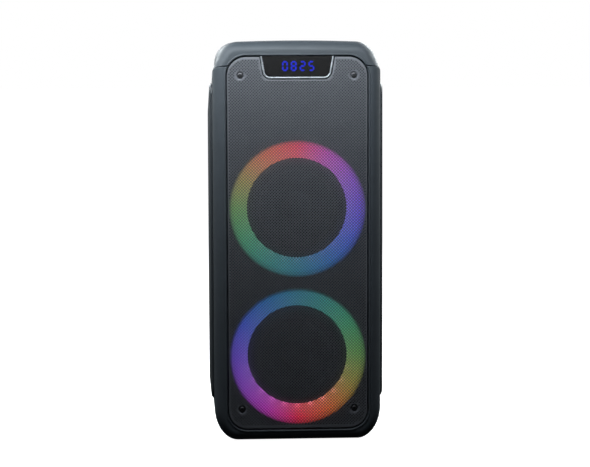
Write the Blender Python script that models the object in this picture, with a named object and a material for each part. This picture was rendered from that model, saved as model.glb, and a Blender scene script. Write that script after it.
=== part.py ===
"""A two-driver party speaker tower, modelled as the separate pieces it is assembled from.

Frame: metres, +Z up, the front faces -Y, and the origin is on the floor under the middle of the
object's box. Depths are measured back from FRONT, the plane of the bezel's flat front.
"""

from math import acos, atan2, cos, hypot, pi, radians, sin

import bmesh
import bpy
from mathutils import Matrix, Vector

# ---- Driving dimensions, in metres -------------------------------------------------------------
DEPTH = 0.245            # bezel front to the tip of the microphone knob
FRONT = -DEPTH / 2
REAR = FRONT + 0.2375    # the cabinet's back face
TOP = 0.580
BASE = 0.003             # underside of the cabinet, held up by the feet
HALF_WIDTH = 0.1206
GAP = 0.0003             # assembly gap between pieces that meet

# The outline seen from the front
BOTTOM_CORNER_X, BOTTOM_CORNER_Z = 0.034, 0.048
TOP_CORNER_X = 0.0836
TOP_CORNER_R = 0.030
CROWN = 0.0015

# The join between the top cover and the body slopes down towards the back
SEAM_FRONT = 0.5437
SEAM_SLOPE = 0.275
SEAM_KINK = 0.002        # the flanks start to taper this far below the join

# Rounding of the shell
FRONT_ROUND_INSET, FRONT_ROUND_DEPTH = 0.0145, 0.019
REAR_ROUND = 0.016
WALL = 0.004
CABINET_WALL = 0.005
REAR_WALL = 0.008
BAFFLE_BACK = FRONT + 0.036

# Grille and the recess it lies in
GRILLE_HALF = 0.1005
GRILLE_LOW, GRILLE_HIGH = 0.021, 0.5571
GRILLE_R = 0.0275
GRILLE_FACE = FRONT + 0.0008
GRILLE_THICK = 0.0012
GRILLE_RIM = 0.0060
RECESS_GAP = 0.001
BOARD_FACE = FRONT + 0.009
BOARD_THICK = 0.004
SCREW_X, SCREW_LOW, SCREW_HIGH = 0.0812, 0.0497, 0.5305
SCREW_HEAD_R, SCREW_SHANK_R, SCREW_HEAD_HEIGHT = 0.004, 0.0015, 0.0022
DIMPLE_R, DIMPLE_DEPTH, DIMPLE_WALL = 0.006, 0.0024, 0.0012

# Display tab that hangs from the top cover into the grille
TAB_TOP_HALF, TAB_LOW_HALF, TAB_LOW, TAB_R = 0.0525, 0.0471, 0.5259, 0.0105
TAB_RIM = 0.0024

# Drivers and light rings, both turned round an axis along Y
DRIVERS = {"upper": 0.3395, "lower": 0.1255}
WELL_R, WELL_FLOOR = 0.0993, FRONT + 0.0305
CUP_WALL = 0.0035
DRIVER_HOLE_R = 0.075
RING_OUTER_R, RING_INNER_R = 0.0978, 0.0722
ARCH_R, ARCH_HALF_WIDTH, ARCH_SWEEP = 0.137, 0.0016, radians(78)
BASKET_WINDOWS = 4

# Control tray in the top, handle pocket at the top of the back
TRAY_HALF, TRAY_FRONT, TRAY_BACK = 0.086, FRONT + 0.042, FRONT + 0.138
TRAY_DEPTH, TRAY_R, TRAY_WALL, TRAY_LEDGE = 0.015, 0.014, 0.003, 0.006
PANEL_THICK = 0.0025
KNOB_R, KNOB_HEIGHT = 0.021, 0.0115
BUTTON_HALF_X, BUTTON_HALF_Y = 0.0125, 0.0065
BUTTON_TRAVEL, BUTTON_PROUD, STEM_LENGTH = 0.001, 0.0013, 0.0070
BOARD_DROP, ENCODER_HEIGHT, SWITCH_HALF = 0.0120, 0.0065, 0.003
POCKET_HALF, POCKET_FRONT, POCKET_LOW = 0.070, FRONT + 0.180, 0.528
HANDLE_R, HANDLE_END_R = 0.011, 0.0125
HANDLE_Y, HANDLE_Z = REAR - 0.0165, 0.5635

# Back of the cabinet
PORT_Z, PORT_R, PORT_WALL, PORT_LENGTH = 0.400, 0.026, 0.0025, 0.105
PORT_HOLE_R, PORT_FLANGE_R, PORT_FLARE = 0.0345, 0.0420, 0.0100
PLATE_Z, PLATE_HALF_X, PLATE_HALF_Z, PLATE_R = 0.210, 0.075, 0.085, 0.004
PLATE_RECESS, PLATE_THICK = 0.005, 0.0025
PLATE_FACE = REAR - PLATE_RECESS + GAP + PLATE_THICK
MIC_JACKS = {"mic_jack_1": -0.042, "mic_jack_2": -0.006}
MIC_KNOB_X = 0.038
JACK_ROW, SOCKET_ROW, POWER_ROW = PLATE_Z + 0.048, PLATE_Z + 0.002, PLATE_Z - 0.048
USB_X, AUX_X = -0.034, 0.004
INLET_X, SWITCH_X = -0.032, 0.034
ROCKER_TILT, ROCKER_PIVOT = radians(9), 0.004
AMPLIFIER_BACK = FRONT + 0.205

# Side panels and feet
PANEL_OUT = 0.1248
SIDE_FRONT, SIDE_BACK = FRONT + 0.024, FRONT + 0.206
SIDE_LOW, SIDE_TOP_DROP, SIDE_R, SIDE_CHAMFER = 0.0615, 0.0080, 0.016, 0.0036
FOOT_X, FOOT_FRONT, FOOT_BACK, FOOT_R = 0.062, FRONT + 0.062, FRONT + 0.200, 0.013

TURN = 2 * pi
ALONG_Y, ALONG_Z = "y", "z"


# ---- Materials ----------------------------------------------------------------------------------
def material(name, colour, roughness, metallic=0.0):
    made = bpy.data.materials.new(name)
    made.use_nodes = True
    shader = made.node_tree.nodes["Principled BSDF"]
    shader.inputs["Base Color"].default_value = (*colour, 1.0)
    shader.inputs["Roughness"].default_value = roughness
    shader.inputs["Metallic"].default_value = metallic
    return made


def make_materials():
    return {
        "shell": material("shell", (0.030, 0.034, 0.038), 0.42),
        "side": material("side", (0.024, 0.027, 0.030), 0.38),
        "mesh": material("mesh", (0.028, 0.029, 0.032), 0.45, 0.4),
        "trim": material("trim", (0.22, 0.23, 0.24), 0.30, 0.6),
        "smoke": material("smoke", (0.010, 0.010, 0.010), 0.12),
        "diffuser": material("diffuser", (0.80, 0.80, 0.82), 0.50),
        "board": material("board", (0.02, 0.16, 0.06), 0.50),
        "steel": material("steel", (0.55, 0.55, 0.56), 0.30, 1.0),
        "black_steel": material("black_steel", (0.03, 0.03, 0.032), 0.40, 0.8),
        "paper": material("paper", (0.020, 0.020, 0.022), 0.75),
        "rubber": material("rubber", (0.015, 0.015, 0.016), 0.65),
        "ferrite": material("ferrite", (0.05, 0.05, 0.052), 0.70),
        "spider": material("spider", (0.45, 0.30, 0.12), 0.85),
        "button": material("button", (0.018, 0.018, 0.020), 0.35),
        "battery": material("battery", (0.05, 0.12, 0.35), 0.50),
    }


# ---- Mesh tools ---------------------------------------------------------------------------------
def clear_scene():
    for obj in list(bpy.data.objects):
        bpy.data.objects.remove(obj)


def as_object(bm, name, paint=None, cutter=False):
    """Closes the mesh into an object. A cutter is a helper that no render shows."""
    bmesh.ops.remove_doubles(bm, verts=bm.verts, dist=1e-6)
    bmesh.ops.recalc_face_normals(bm, faces=bm.faces)
    mesh = bpy.data.meshes.new(name)
    bm.to_mesh(mesh)
    bm.free()
    mesh.shade_smooth()
    mesh.set_sharp_from_angle(angle=radians(32))
    if paint:
        mesh.materials.append(paint)
    obj = bpy.data.objects.new(name, mesh)
    bpy.context.scene.collection.objects.link(obj)
    if cutter:
        obj.hide_render = True
        obj.display_type = "WIRE"
    return obj


def boolean(obj, other, operation):
    """Adds a Boolean with a helper object, which is then hidden."""
    other.hide_render = True
    other.display_type = "WIRE"
    made = obj.modifiers.new(f"{operation.lower()}_{other.name}", "BOOLEAN")
    made.operation = operation
    made.object = other
    return obj


def cut(obj, *others):
    for other in others:
        boolean(obj, other, "DIFFERENCE")
    return obj


def join(obj, *others):
    for other in others:
        boolean(obj, other, "UNION")
    return obj


def keep(obj, other):
    return boolean(obj, other, "INTERSECT")


def use_manifold_solver(obj):
    """For a solid whose flat floors with holes the exact solver leaves open."""
    for made in obj.modifiers:
        made.solver = "MANIFOLD"


def set_origin(obj, point):
    """Moves an object's origin to a point, such as one on its joint's axis. Its shape stays in place."""
    obj.data.transform(Matrix.Translation(-Vector(point)))
    obj.location = point
    return obj


def box(name, low, high, paint=None, cutter=False):
    bm = bmesh.new()
    size = Vector(high) - Vector(low)
    middle = (Vector(high) + Vector(low)) / 2
    place = Matrix.Translation(middle) @ Matrix.Diagonal((*size, 1.0))
    bmesh.ops.create_cube(bm, size=1.0, matrix=place)
    return as_object(bm, name, paint, cutter)


def prism(name, outline, start, end, paint=None, cutter=False, plane="xz"):
    """A closed outline in one plane, extruded from start to end along the plane's normal."""
    place = {
        "xz": lambda a, b, c: (a, c, b),
        "xy": lambda a, b, c: (a, b, c),
        "yz": lambda a, b, c: (c, a, b),
    }[plane]
    bm = bmesh.new()
    face = bm.faces.new([bm.verts.new(place(a, b, start)) for a, b in outline])
    pushed = bmesh.ops.extrude_face_region(bm, geom=[face])["geom"]
    move = Vector(place(0, 0, end - start))
    verts = [v for v in pushed if isinstance(v, bmesh.types.BMVert)]
    bmesh.ops.translate(bm, vec=move, verts=verts)
    return as_object(bm, name, paint, cutter)


def turned(name, profile, centre, paint=None, cutter=False, along=ALONG_Y, steps=32):
    """A closed profile of (radius, distance along the axis) points, spun round an axis through its origin."""
    bm = bmesh.new()
    from_axis = profile[0][0] == 0
    if along == ALONG_Y:
        spin_profile(bm, [(r, t, 0) for r, t in profile], from_axis, (0, 1, 0), steps)
    else:
        spin_profile(bm, [(r, 0, t) for r, t in profile], from_axis, (0, 0, 1), steps)
    obj = as_object(bm, name, paint, cutter)
    obj.location = centre
    return obj


def spin_profile(bm, points, from_axis, axis, steps):
    """Sweeps the profile's points round the axis. A profile that starts and ends on it is left open there."""
    verts = [bm.verts.new(p) for p in points]
    pairs = list(zip(verts, verts[1:]))
    if not from_axis:
        pairs.append((verts[-1], verts[0]))
    edges = [bm.edges.new(pair) for pair in pairs]
    geom = verts + edges
    bmesh.ops.spin(bm, geom=geom, cent=(0, 0, 0), axis=axis, angle=TURN, steps=steps, use_merge=True)


def rod(name, radius, start, end, centre, paint=None, cutter=False, along=ALONG_Y, steps=24):
    """A plain cylinder between two distances along its axis."""
    profile = [(0, start), (radius, start), (radius, end), (0, end)]
    return turned(name, profile, centre, paint, cutter, along, steps)


def loft(name, rings, paint=None, cutter=False):
    """Skins a row of loops that have the same number of points, and caps both ends."""
    bm = bmesh.new()
    loops = [[bm.verts.new(p) for p in ring] for ring in rings]
    for first, second in zip(loops, loops[1:]):
        count = len(first)
        for i in range(count):
            j = (i + 1) % count
            bm.faces.new((first[i], first[j], second[j], second[i]))
    bm.faces.new(loops[0])
    bm.faces.new(loops[-1])
    return as_object(bm, name, paint, cutter)


def arc(cx, cz, rx, rz, start, end, steps):
    """Points of an elliptical arc, both ends included, angles in radians."""
    angles = [start + (end - start) * k / steps for k in range(steps + 1)]
    return [(cx + rx * cos(a), cz + rz * sin(a)) for a in angles]


def rounded(corners, radii, steps=5):
    """A polygon with each corner turned into an arc of its own radius. A radius of 0 leaves it sharp."""
    outline = []
    count = len(corners)
    for i, (corner, radius) in enumerate(zip(corners, radii)):
        here = Vector(corner)
        back = (Vector(corners[i - 1]) - here).normalized()
        on = (Vector(corners[(i + 1) % count]) - here).normalized()
        if radius == 0:
            outline.append(tuple(here))
            continue
        half = back.angle(on) / 2
        reach = radius / cos(pi / 2 - half) * sin(pi / 2 - half)
        centre = here + (back + on).normalized() * (radius / sin(half))
        first, last = here + back * reach, here + on * reach
        begin = atan2(first.y - centre.y, first.x - centre.x)
        finish = atan2(last.y - centre.y, last.x - centre.x)
        sweep = (finish - begin + pi) % TURN - pi
        outline += arc(centre.x, centre.y, radius, radius, begin, begin + sweep, steps)
    return outline


def rounded_box(half_x, low, high, radius, steps=5):
    corners = [(-half_x, low), (half_x, low), (half_x, high), (-half_x, high)]
    return rounded(corners, [radius] * 4, steps)


# ---- The shell ----------------------------------------------------------------------------------
def seam_at(y):
    return SEAM_FRONT - SEAM_SLOPE * (y - FRONT)


def body_outline(inset, kink_z):
    """The body's outline from the front, moved inwards by inset, with the flanks tapering above kink_z."""
    side = HALF_WIDTH - inset
    low_centre = (HALF_WIDTH - BOTTOM_CORNER_X, BASE + BOTTOM_CORNER_Z)
    half = arc(*low_centre, BOTTOM_CORNER_X - inset, BOTTOM_CORNER_Z - inset, -pi / 2, 0, 7)
    half.append((side, kink_z))
    corner = (TOP_CORNER_X, TOP - CROWN - TOP_CORNER_R)
    radius = TOP_CORNER_R - inset
    dx, dz = side - corner[0], kink_z - corner[1]
    touch = atan2(dz, dx) + acos(radius / hypot(dx, dz))
    half += arc(*corner, radius, radius, touch, pi / 2, 6)
    half.append((TOP_CORNER_X / 2, TOP - inset - CROWN / 4))
    mirrored = [(-x, z) for x, z in reversed(half)]
    return half + [(0, TOP - inset)] + mirrored


def shell_rings(extra=0.0, start=FRONT, end=REAR):
    """Loops of the body along its depth. With extra, the hollow that much inside it, between two depths."""
    front = []
    rear = []
    for k in range(4):
        turn = pi / 2 * k / 3
        front.append((FRONT + FRONT_ROUND_DEPTH * (1 - cos(turn)), FRONT_ROUND_INSET * (1 - sin(turn))))
        rear.append((REAR - REAR_ROUND * (1 - sin(turn)), REAR_ROUND * (1 - cos(turn))))
    if extra:
        front = [(start, 0.0)]
        rear = [(y - REAR + end, inset * 0.7) for y, inset in rear]
    rings = front + rear
    return [
        [(x, y, z) for x, z in body_outline(inset + extra, seam_at(y) - SEAM_KINK)]
        for y, inset in rings
    ]


def below_seam(name, start, end):
    """A block between two depths that ends just under the sloping join."""
    low = BASE - 0.02
    outline = [(start, low), (end, low), (end, seam_at(end) - GAP / 2), (start, seam_at(start) - GAP / 2)]
    return prism(name, outline, -HALF_WIDTH * 1.5, HALF_WIDTH * 1.5, cutter=True, plane="yz")


def above_seam(name, start, end):
    """A block between two depths that starts just above the sloping join."""
    high = TOP + 0.02
    first, last = seam_at(start) + GAP / 2, seam_at(end) + GAP / 2
    outline = [(start, first), (end, last), (end, high), (start, high)]
    return prism(name, outline, -HALF_WIDTH * 1.5, HALF_WIDTH * 1.5, cutter=True, plane="yz")


def grille_recess(name):
    low, high = GRILLE_LOW - RECESS_GAP, GRILLE_HIGH + RECESS_GAP
    outline = rounded_box(GRILLE_HALF + RECESS_GAP, low, high, GRILLE_R + RECESS_GAP, 6)
    return prism(name, outline, FRONT - 0.01, BOARD_FACE, cutter=True)


def arch_outline():
    """A thin band round the upper driver's axis, across the width of the grille."""
    start, end = pi / 2 - ARCH_SWEEP / 2, pi / 2 + ARCH_SWEEP / 2
    low, high = ARCH_R - ARCH_HALF_WIDTH, ARCH_R + ARCH_HALF_WIDTH
    inner = arc(0, DRIVERS["upper"], low, low, start, end, 12)
    outer = arc(0, DRIVERS["upper"], high, high, end, start, 12)
    return inner + outer


def make_front_baffle(paint):
    obj = loft("front_baffle", shell_rings(), paint)
    keep(obj, below_seam("baffle_block", FRONT - 0.02, BAFFLE_BACK))
    cut(obj, grille_recess("baffle_recess"))
    hollow = body_outline(WALL, SEAM_FRONT - 0.012)
    cut(obj, prism("baffle_hollow", hollow, BOARD_FACE + BOARD_THICK, BAFFLE_BACK + 0.01, cutter=True))
    join(obj, prism("baffle_arch", arch_outline(), BOARD_FACE - 0.004, BOARD_FACE + 0.002))
    cup_back = WELL_FLOOR + CUP_WALL
    centres = {name: (0, 0, z) for name, z in DRIVERS.items()}
    for name, centre in centres.items():
        join(obj, rod(f"cup_{name}", WELL_R + CUP_WALL, BOARD_FACE + 0.001, cup_back, centre, steps=40))
    for name, centre in centres.items():
        cut(obj, rod(f"well_{name}", WELL_R, FRONT - 0.01, WELL_FLOOR, centre, cutter=True, steps=40))
    for name, centre in centres.items():
        cut(obj, rod(f"hole_{name}", DRIVER_HOLE_R, FRONT, cup_back + 0.01, centre, cutter=True, steps=40))
    pilot_r = SCREW_SHANK_R + GAP
    for n, (x, z) in enumerate(grille_screw_places(), 1):
        cut(obj, rod(f"pilot_{n}", pilot_r, FRONT, BOARD_FACE + 0.02, (x, 0, z), cutter=True, steps=8))
    use_manifold_solver(obj)
    return obj


def make_cabinet(paint):
    obj = loft("cabinet", shell_rings(), paint)
    keep(obj, below_seam("cabinet_block", BAFFLE_BACK + GAP, REAR + 0.02))
    inner = shell_rings(CABINET_WALL, FRONT + 0.02, REAR - REAR_WALL)
    cut(obj, loft("cabinet_hollow", inner, cutter=True))
    cut(obj, rod("port_hole", PORT_HOLE_R, REAR - 0.03, REAR + 0.01, (0, 0, PORT_Z), cutter=True, steps=28))
    recess = rounded_box(PLATE_HALF_X, PLATE_Z - PLATE_HALF_Z, PLATE_Z + PLATE_HALF_Z, PLATE_R, 3)
    cut(obj, prism("plate_recess", recess, REAR - PLATE_RECESS, REAR + 0.01, cutter=True))
    ledge = 0.009
    half_x, half_z = PLATE_HALF_X - ledge, PLATE_HALF_Z - ledge
    opening = rounded_box(half_x, PLATE_Z - half_z, PLATE_Z + half_z, PLATE_R, 2)
    cut(obj, prism("plate_opening", opening, REAR - 0.03, REAR, cutter=True))
    pilot_r = SCREW_SHANK_R + GAP
    for n, (x, z) in enumerate(plate_screw_places(), 1):
        cut(obj, rod(f"plate_pilot_{n}", pilot_r, REAR - 0.03, REAR, (x, 0, z), cutter=True, steps=8))
    return obj


def make_top_cover(paint):
    obj = loft("top_cover", shell_rings(), paint)
    keep(obj, above_seam("cover_block", FRONT - 0.02, REAR + 0.02))
    inner = shell_rings(WALL, BOARD_FACE + BOARD_THICK, REAR - WALL)
    cut(obj, loft("cover_hollow", inner, cutter=True))
    cut(obj, grille_recess("cover_recess"))
    tray_floor = TOP - TRAY_DEPTH
    block = tray_outline(TRAY_WALL)
    join(obj, prism("tray_block", block, tray_floor - TRAY_WALL, TOP - WALL / 2, plane="xy"))
    cut(obj, prism("tray_hollow", tray_outline(0), tray_floor, TOP + 0.01, cutter=True, plane="xy"))
    opening = tray_outline(-TRAY_LEDGE)
    low, high = tray_floor - 0.01, tray_floor + 0.001
    cut(obj, prism("tray_opening", opening, low, high, cutter=True, plane="xy"))
    low = (-POCKET_HALF - WALL, POCKET_FRONT - WALL, POCKET_LOW - WALL)
    block = box("pocket_block", low, (POCKET_HALF + WALL, REAR, TOP))
    skin = shell_rings(WALL / 2, TRAY_BACK, REAR - WALL / 2)
    keep(block, loft("pocket_limit", skin, cutter=True))
    join(obj, block)
    pocket = (-POCKET_HALF, POCKET_FRONT, POCKET_LOW), (POCKET_HALF, REAR + 0.02, TOP + 0.02)
    cut(obj, box("pocket_hollow", *pocket, cutter=True))
    use_manifold_solver(obj)
    return obj


def tray_outline(grow):
    """The control tray in plan, moved outwards by grow."""
    half_x, front, back = TRAY_HALF + grow, TRAY_FRONT - grow, TRAY_BACK + grow
    corners = [(-half_x, front), (half_x, front), (half_x, back), (-half_x, back)]
    return rounded(corners, [TRAY_R + grow] * 4, 4)


def side_outline(inset):
    """The side panel seen from the side, in (y, z): its top edge runs along the sloping join."""
    front, back = SIDE_FRONT + inset, SIDE_BACK - inset
    drop = SIDE_TOP_DROP + inset
    corners = [
        (front, SIDE_LOW + inset),
        (back, SIDE_LOW + inset),
        (back, seam_at(back) - drop),
        (front, seam_at(front) - drop),
    ]
    return rounded(corners, [SIDE_R - inset] * 4, 5)


def make_side_panel(name, side, paint):
    """A raised moulding on the cabinet's flank, with a chamfered edge."""
    levels = ((HALF_WIDTH + GAP, 0), (PANEL_OUT - SIDE_CHAMFER, 0), (PANEL_OUT, SIDE_CHAMFER * 1.4))
    return loft(name, [[(side * x, y, z) for y, z in side_outline(inset)] for x, inset in levels], paint)


# ---- Grille, its screws and the display ---------------------------------------------------------
def grille_screw_places():
    return [(side * SCREW_X, z) for z in (SCREW_LOW, SCREW_HIGH) for side in (-1, 1)]


def tab_outline(grow, top):
    """The display tab moved outwards by grow, with its slanting sides run up to a height."""
    low = TAB_LOW - grow
    lean = (TAB_TOP_HALF - TAB_LOW_HALF) / (GRILLE_HIGH - TAB_LOW)
    half_low = TAB_LOW_HALF + grow + (low - TAB_LOW) * lean
    half_top = TAB_LOW_HALF + grow + (top - TAB_LOW) * lean
    corners = [(-half_top, top), (-half_low, low), (half_low, low), (half_top, top)]
    return rounded(corners, [0, TAB_R + grow, TAB_R + grow, 0], 5)


def make_grille(paint):
    """Sheet with a folded rim. The perforation is finer than this model's scale, so the sheet is plain."""
    outline = rounded_box(GRILLE_HALF, GRILLE_LOW, GRILLE_HIGH, GRILLE_R, 6)
    obj = prism("grille", outline, GRILLE_FACE, GRILLE_FACE + GRILLE_RIM, paint)
    low, high = GRILLE_LOW + GRILLE_THICK, GRILLE_HIGH - GRILLE_THICK
    inner = rounded_box(GRILLE_HALF - GRILLE_THICK, low, high, GRILLE_R - GRILLE_THICK, 6)
    cut(obj, prism("grille_hollow", inner, GRILLE_FACE + GRILLE_THICK, GRILLE_FACE + 0.02, cutter=True))
    notch = tab_outline(RECESS_GAP, GRILLE_HIGH + 0.01)
    cut(obj, prism("grille_notch", notch, FRONT - 0.01, FRONT + 0.02, cutter=True))
    floor = GRILLE_FACE + DIMPLE_DEPTH
    lip, under = GRILLE_FACE + DIMPLE_WALL / 2, floor + DIMPLE_WALL
    pilot_r = SCREW_SHANK_R + GAP
    for n, (x, z) in enumerate(grille_screw_places(), 1):
        centre = (x, 0, z)
        join(obj, rod(f"dimple_{n}", DIMPLE_R + DIMPLE_WALL, lip, under, centre, steps=16))
        cut(obj, rod(f"dimple_hollow_{n}", DIMPLE_R, FRONT - 0.01, floor, centre, cutter=True, steps=16))
        cut(obj, rod(f"grille_hole_{n}", pilot_r, FRONT, under + 0.01, centre, cutter=True, steps=8))
    use_manifold_solver(obj)
    return obj


def make_screw(name, x, z, seat, length, paint):
    """Pan-head screw with a hexagon socket. seat is the face it bears on; length runs along Y from it."""
    inwards = 1 if length > 0 else -1
    under = seat - inwards * GAP
    top = under - inwards * SCREW_HEAD_HEIGHT
    profile = [
        (0, top),
        (SCREW_HEAD_R * 0.8, top),
        (SCREW_HEAD_R, top + inwards * SCREW_HEAD_HEIGHT * 0.4),
        (SCREW_HEAD_R, under),
        (SCREW_SHANK_R, under),
        (SCREW_SHANK_R, under + length),
        (0, under + length),
    ]
    obj = turned(name, profile, (x, 0, z), paint, steps=12)
    ends = sorted((top - inwards * 0.001, top + inwards * 0.0012))
    return cut(obj, rod(f"{name}_socket", 0.0016, *ends, (x, 0, z), cutter=True, steps=6))


def make_display(paints):
    tab_top = GRILLE_HIGH + RECESS_GAP - GAP
    rim = prism("display_bezel", tab_outline(0, tab_top), FRONT, FRONT + 0.0085, paints["trim"])
    cut(rim, prism("bezel_hollow", tab_outline(-TAB_RIM, TOP), FRONT - 0.01, FRONT + 0.02, cutter=True))
    pane = tab_outline(-TAB_RIM - GAP, tab_top)
    prism("display_window", pane, FRONT + 0.0010, FRONT + 0.0030, paints["smoke"])
    low, high = (-0.0255, FRONT + 0.0034, 0.5330), (0.0255, FRONT + 0.0084, 0.5520)
    box("display_module", low, high, paints["board"])


# ---- Light rings and drivers --------------------------------------------------------------------
def make_light_ring(name, z, paints):
    """The funnel lights up between the grille and the driver; its lamps sit on a flat ring behind it."""
    centre = (0, FRONT, z)
    funnel = [
        (RING_OUTER_R, 0.0036),
        (RING_OUTER_R, 0.0110),
        (0.0898, 0.0215),
        (0.0773, 0.0255),
        (RING_INNER_R, 0.0255),
        (RING_INNER_R, 0.0235),
        (0.0878, 0.0190),
        (0.0955, 0.0090),
        (0.0955, 0.0036),
    ]
    turned(f"led_diffuser_{name}", funnel, centre, paints["diffuser"], steps=32)
    board = [(0.0845, 0.0286), (0.0975, 0.0286), (0.0975, 0.0302), (0.0845, 0.0302)]
    turned(f"led_board_{name}", board, centre, paints["board"], steps=24)


def make_basket(name, z, paint):
    """Pressed frame: a flange, a spoked cone, the spider's seat and a floor with the voice coil's hole."""
    profile = [
        (0.0705, 0.0262),
        (0.0830, 0.0262),
        (0.0830, 0.0302),
        (0.0722, 0.0302),
        (0.0535, 0.0618),
        (0.0455, 0.0618),
        (0.0430, 0.0718),
        (0.0150, 0.0718),
        (0.0150, 0.0700),
        (0.0410, 0.0700),
        (0.0435, 0.0600),
        (0.0522, 0.0600),
    ]
    obj = turned(f"woofer_basket_{name}", profile, (0, FRONT, z), paint, steps=24)
    for n in range(BASKET_WINDOWS):
        window = box(f"window_{name}_{n}", (0.030, 0.034, -0.017), (0.090, 0.056, 0.017), cutter=True)
        window.rotation_euler = (0, TURN * (n + 0.5) / BASKET_WINDOWS, 0)
        window.location = obj.location
        cut(obj, window)
    return obj


def make_surround(name, z, paint):
    """Rubber half-roll from the flange to the cone's edge, one thickness all along."""
    roll_r, middle, thick = 0.0080, 0.0620, 0.0008
    base = 0.0252
    outer = arc(middle, base - thick, roll_r, -0.0065, 0, pi, 4)
    inner = arc(middle, base, roll_r - thick, -0.0065, pi, 0, 4)
    rim, neck = RING_INNER_R - 0.0006, 0.0500
    profile = [(rim, base - thick), *outer, (neck, base - thick), (neck, base), *inner, (rim, base)]
    return turned(f"woofer_surround_{name}", profile, (0, FRONT, z), paint, steps=24)


def make_cone(name, z, paints):
    """Paper cone with its voice coil tube, the dust cap over it, and the spider that centres it."""
    centre = (0, FRONT, z)
    cone = [
        (0.0522, 0.0262),
        (0.0522, 0.0276),
        (0.0300, 0.0412),
        (0.0134, 0.0500),
        (0.0134, 0.0840),
        (0.0124, 0.0840),
        (0.0124, 0.0480),
        (0.0290, 0.0398),
    ]
    turned(f"woofer_cone_{name}", cone, centre, paints["paper"], steps=28)
    base = 0.0433
    dome = arc(0, base, 0.0212, -0.0105, pi / 2, 0, 4)
    under = arc(0, base, 0.0204, -0.0097, 0, pi / 2, 4)
    cap = [(0, dome[0][1]), *dome[1:], *under[:-1], (0, under[-1][1])]
    turned(f"woofer_dust_cap_{name}", cap, centre, paints["paper"], steps=20)
    waves = 3
    inner, outer = 0.0138, 0.0450
    top = [(inner + (outer - inner) * k / waves, 0.0575 + 0.0010 * (-1) ** k) for k in range(waves)]
    top += [(outer, 0.0590), (0.0505, 0.0590)]
    bottom = [(r, t + 0.0006) for r, t in reversed(top)]
    turned(f"woofer_spider_{name}", top + bottom, centre, paints["spider"], steps=20)


def make_motor(name, z, paints):
    """Magnet ring, and the yoke whose pole stands inside the voice coil."""
    centre = (0, FRONT, z)
    ring = [(0.0150, 0.0721), (0.0425, 0.0721), (0.0425, 0.0890), (0.0150, 0.0890)]
    turned(f"woofer_magnet_{name}", ring, centre, paints["ferrite"], steps=24)
    yoke = [(0, 0.0670), (0.0116, 0.0670), (0.0116, 0.0893), (0.0390, 0.0893), (0.0390, 0.0950), (0, 0.0950)]
    turned(f"woofer_yoke_{name}", yoke, centre, paints["steel"], steps=20)


# ---- Controls on the top ------------------------------------------------------------------------
def panel_level():
    """Height of the control panel's upper face."""
    return TOP - TRAY_DEPTH + GAP + PANEL_THICK


def knob_place():
    return (0, (TRAY_FRONT + TRAY_BACK) / 2)


def button_places():
    """Three buttons to each side of the volume knob, front to back."""
    middle = knob_place()[1]
    names = {
        -1: ("button_power", "button_source", "button_light"),
        1: ("button_previous", "button_play", "button_next"),
    }
    return {
        name: (side * 0.055, middle + (row - 1) * 0.026)
        for side, row_names in names.items()
        for row, name in enumerate(row_names)
    }


def pill(half_x, half_y, steps=4):
    """A bar with fully round ends, in plan."""
    radius = min(half_x, half_y) - 1e-5
    corners = [(-half_x, -half_y), (half_x, -half_y), (half_x, half_y), (-half_x, half_y)]
    return rounded(corners, [radius] * 4, steps)


def moved(outline, x, y):
    return [(a + x, b + y) for a, b in outline]


def make_controls(paints):
    level = panel_level()
    low = level - PANEL_THICK
    panel = prism("control_panel", tray_outline(-GAP), low, level, paints["smoke"], plane="xy")
    board = make_control_board(level, paints["board"])
    knob_x, knob_y = knob_place()
    below, above = level - 0.01, level + 0.01
    centre = (knob_x, knob_y, 0)
    cut(panel, rod("knob_hole", 0.0040, below, above, centre, cutter=True, along=ALONG_Z, steps=12))
    for name, (x, y) in button_places().items():
        hole = moved(pill(BUTTON_HALF_X + 0.0004, BUTTON_HALF_Y + 0.0004), x, y)
        cut(panel, prism(f"{name}_hole", hole, below, above, cutter=True, plane="xy"))
        make_button(name, x, y, level, paints["button"])
        switch_top = level - STEM_LENGTH - BUTTON_TRAVEL - 0.0001
        low = (x - SWITCH_HALF, y - SWITCH_HALF, level - BOARD_DROP - 0.0008)
        join(board, box(f"{name}_switch", low, (x + SWITCH_HALF, y + SWITCH_HALF, switch_top)))
    use_manifold_solver(board)
    make_volume_knob(knob_x, knob_y, level, paints["button"])


def make_control_board(level, paint):
    """Board under the control panel, with the volume encoder and four posts up to the panel."""
    top = level - BOARD_DROP
    front, back = TRAY_FRONT + 0.009, TRAY_BACK - 0.009
    board = box("control_board", (-0.077, front, top - 0.0016), (0.077, back, top), paint)
    middle = knob_place()[1]
    half = 0.007
    low, high = (-half, middle - half, top - 0.0008), (half, middle + half, top + ENCODER_HEIGHT)
    join(board, box("encoder_body", low, high))
    low, high = top - 0.0008, level - PANEL_THICK - GAP
    places = [(side * 0.0735, y) for y in (front + 0.004, back - 0.004) for side in (-1, 1)]
    for n, (x, y) in enumerate(places, 1):
        join(board, rod(f"panel_post_{n}", 0.0024, low, high, (x, y, 0), along=ALONG_Z, steps=8))
    return board


def make_button(name, x, y, level, paint):
    """Cap with a flange that keeps it under the panel and a stem that presses the switch on the board."""
    cap = moved(pill(BUTTON_HALF_X, BUTTON_HALF_Y), x, y)
    low = level - PANEL_THICK
    button = prism(name, cap, low - 0.0006, level + BUTTON_PROUD, paint, plane="xy")
    flange = moved(pill(BUTTON_HALF_X + 0.0015, BUTTON_HALF_Y + 0.0015), x, y)
    join(button, prism(f"{name}_flange", flange, low - 0.0018, low - GAP, plane="xy"))
    foot = level - STEM_LENGTH
    join(button, rod(f"{name}_stem", 0.0020, foot, level - 0.0035, (x, y, 0), along=ALONG_Z, steps=8))
    return set_origin(button, (x, y, level))


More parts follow.
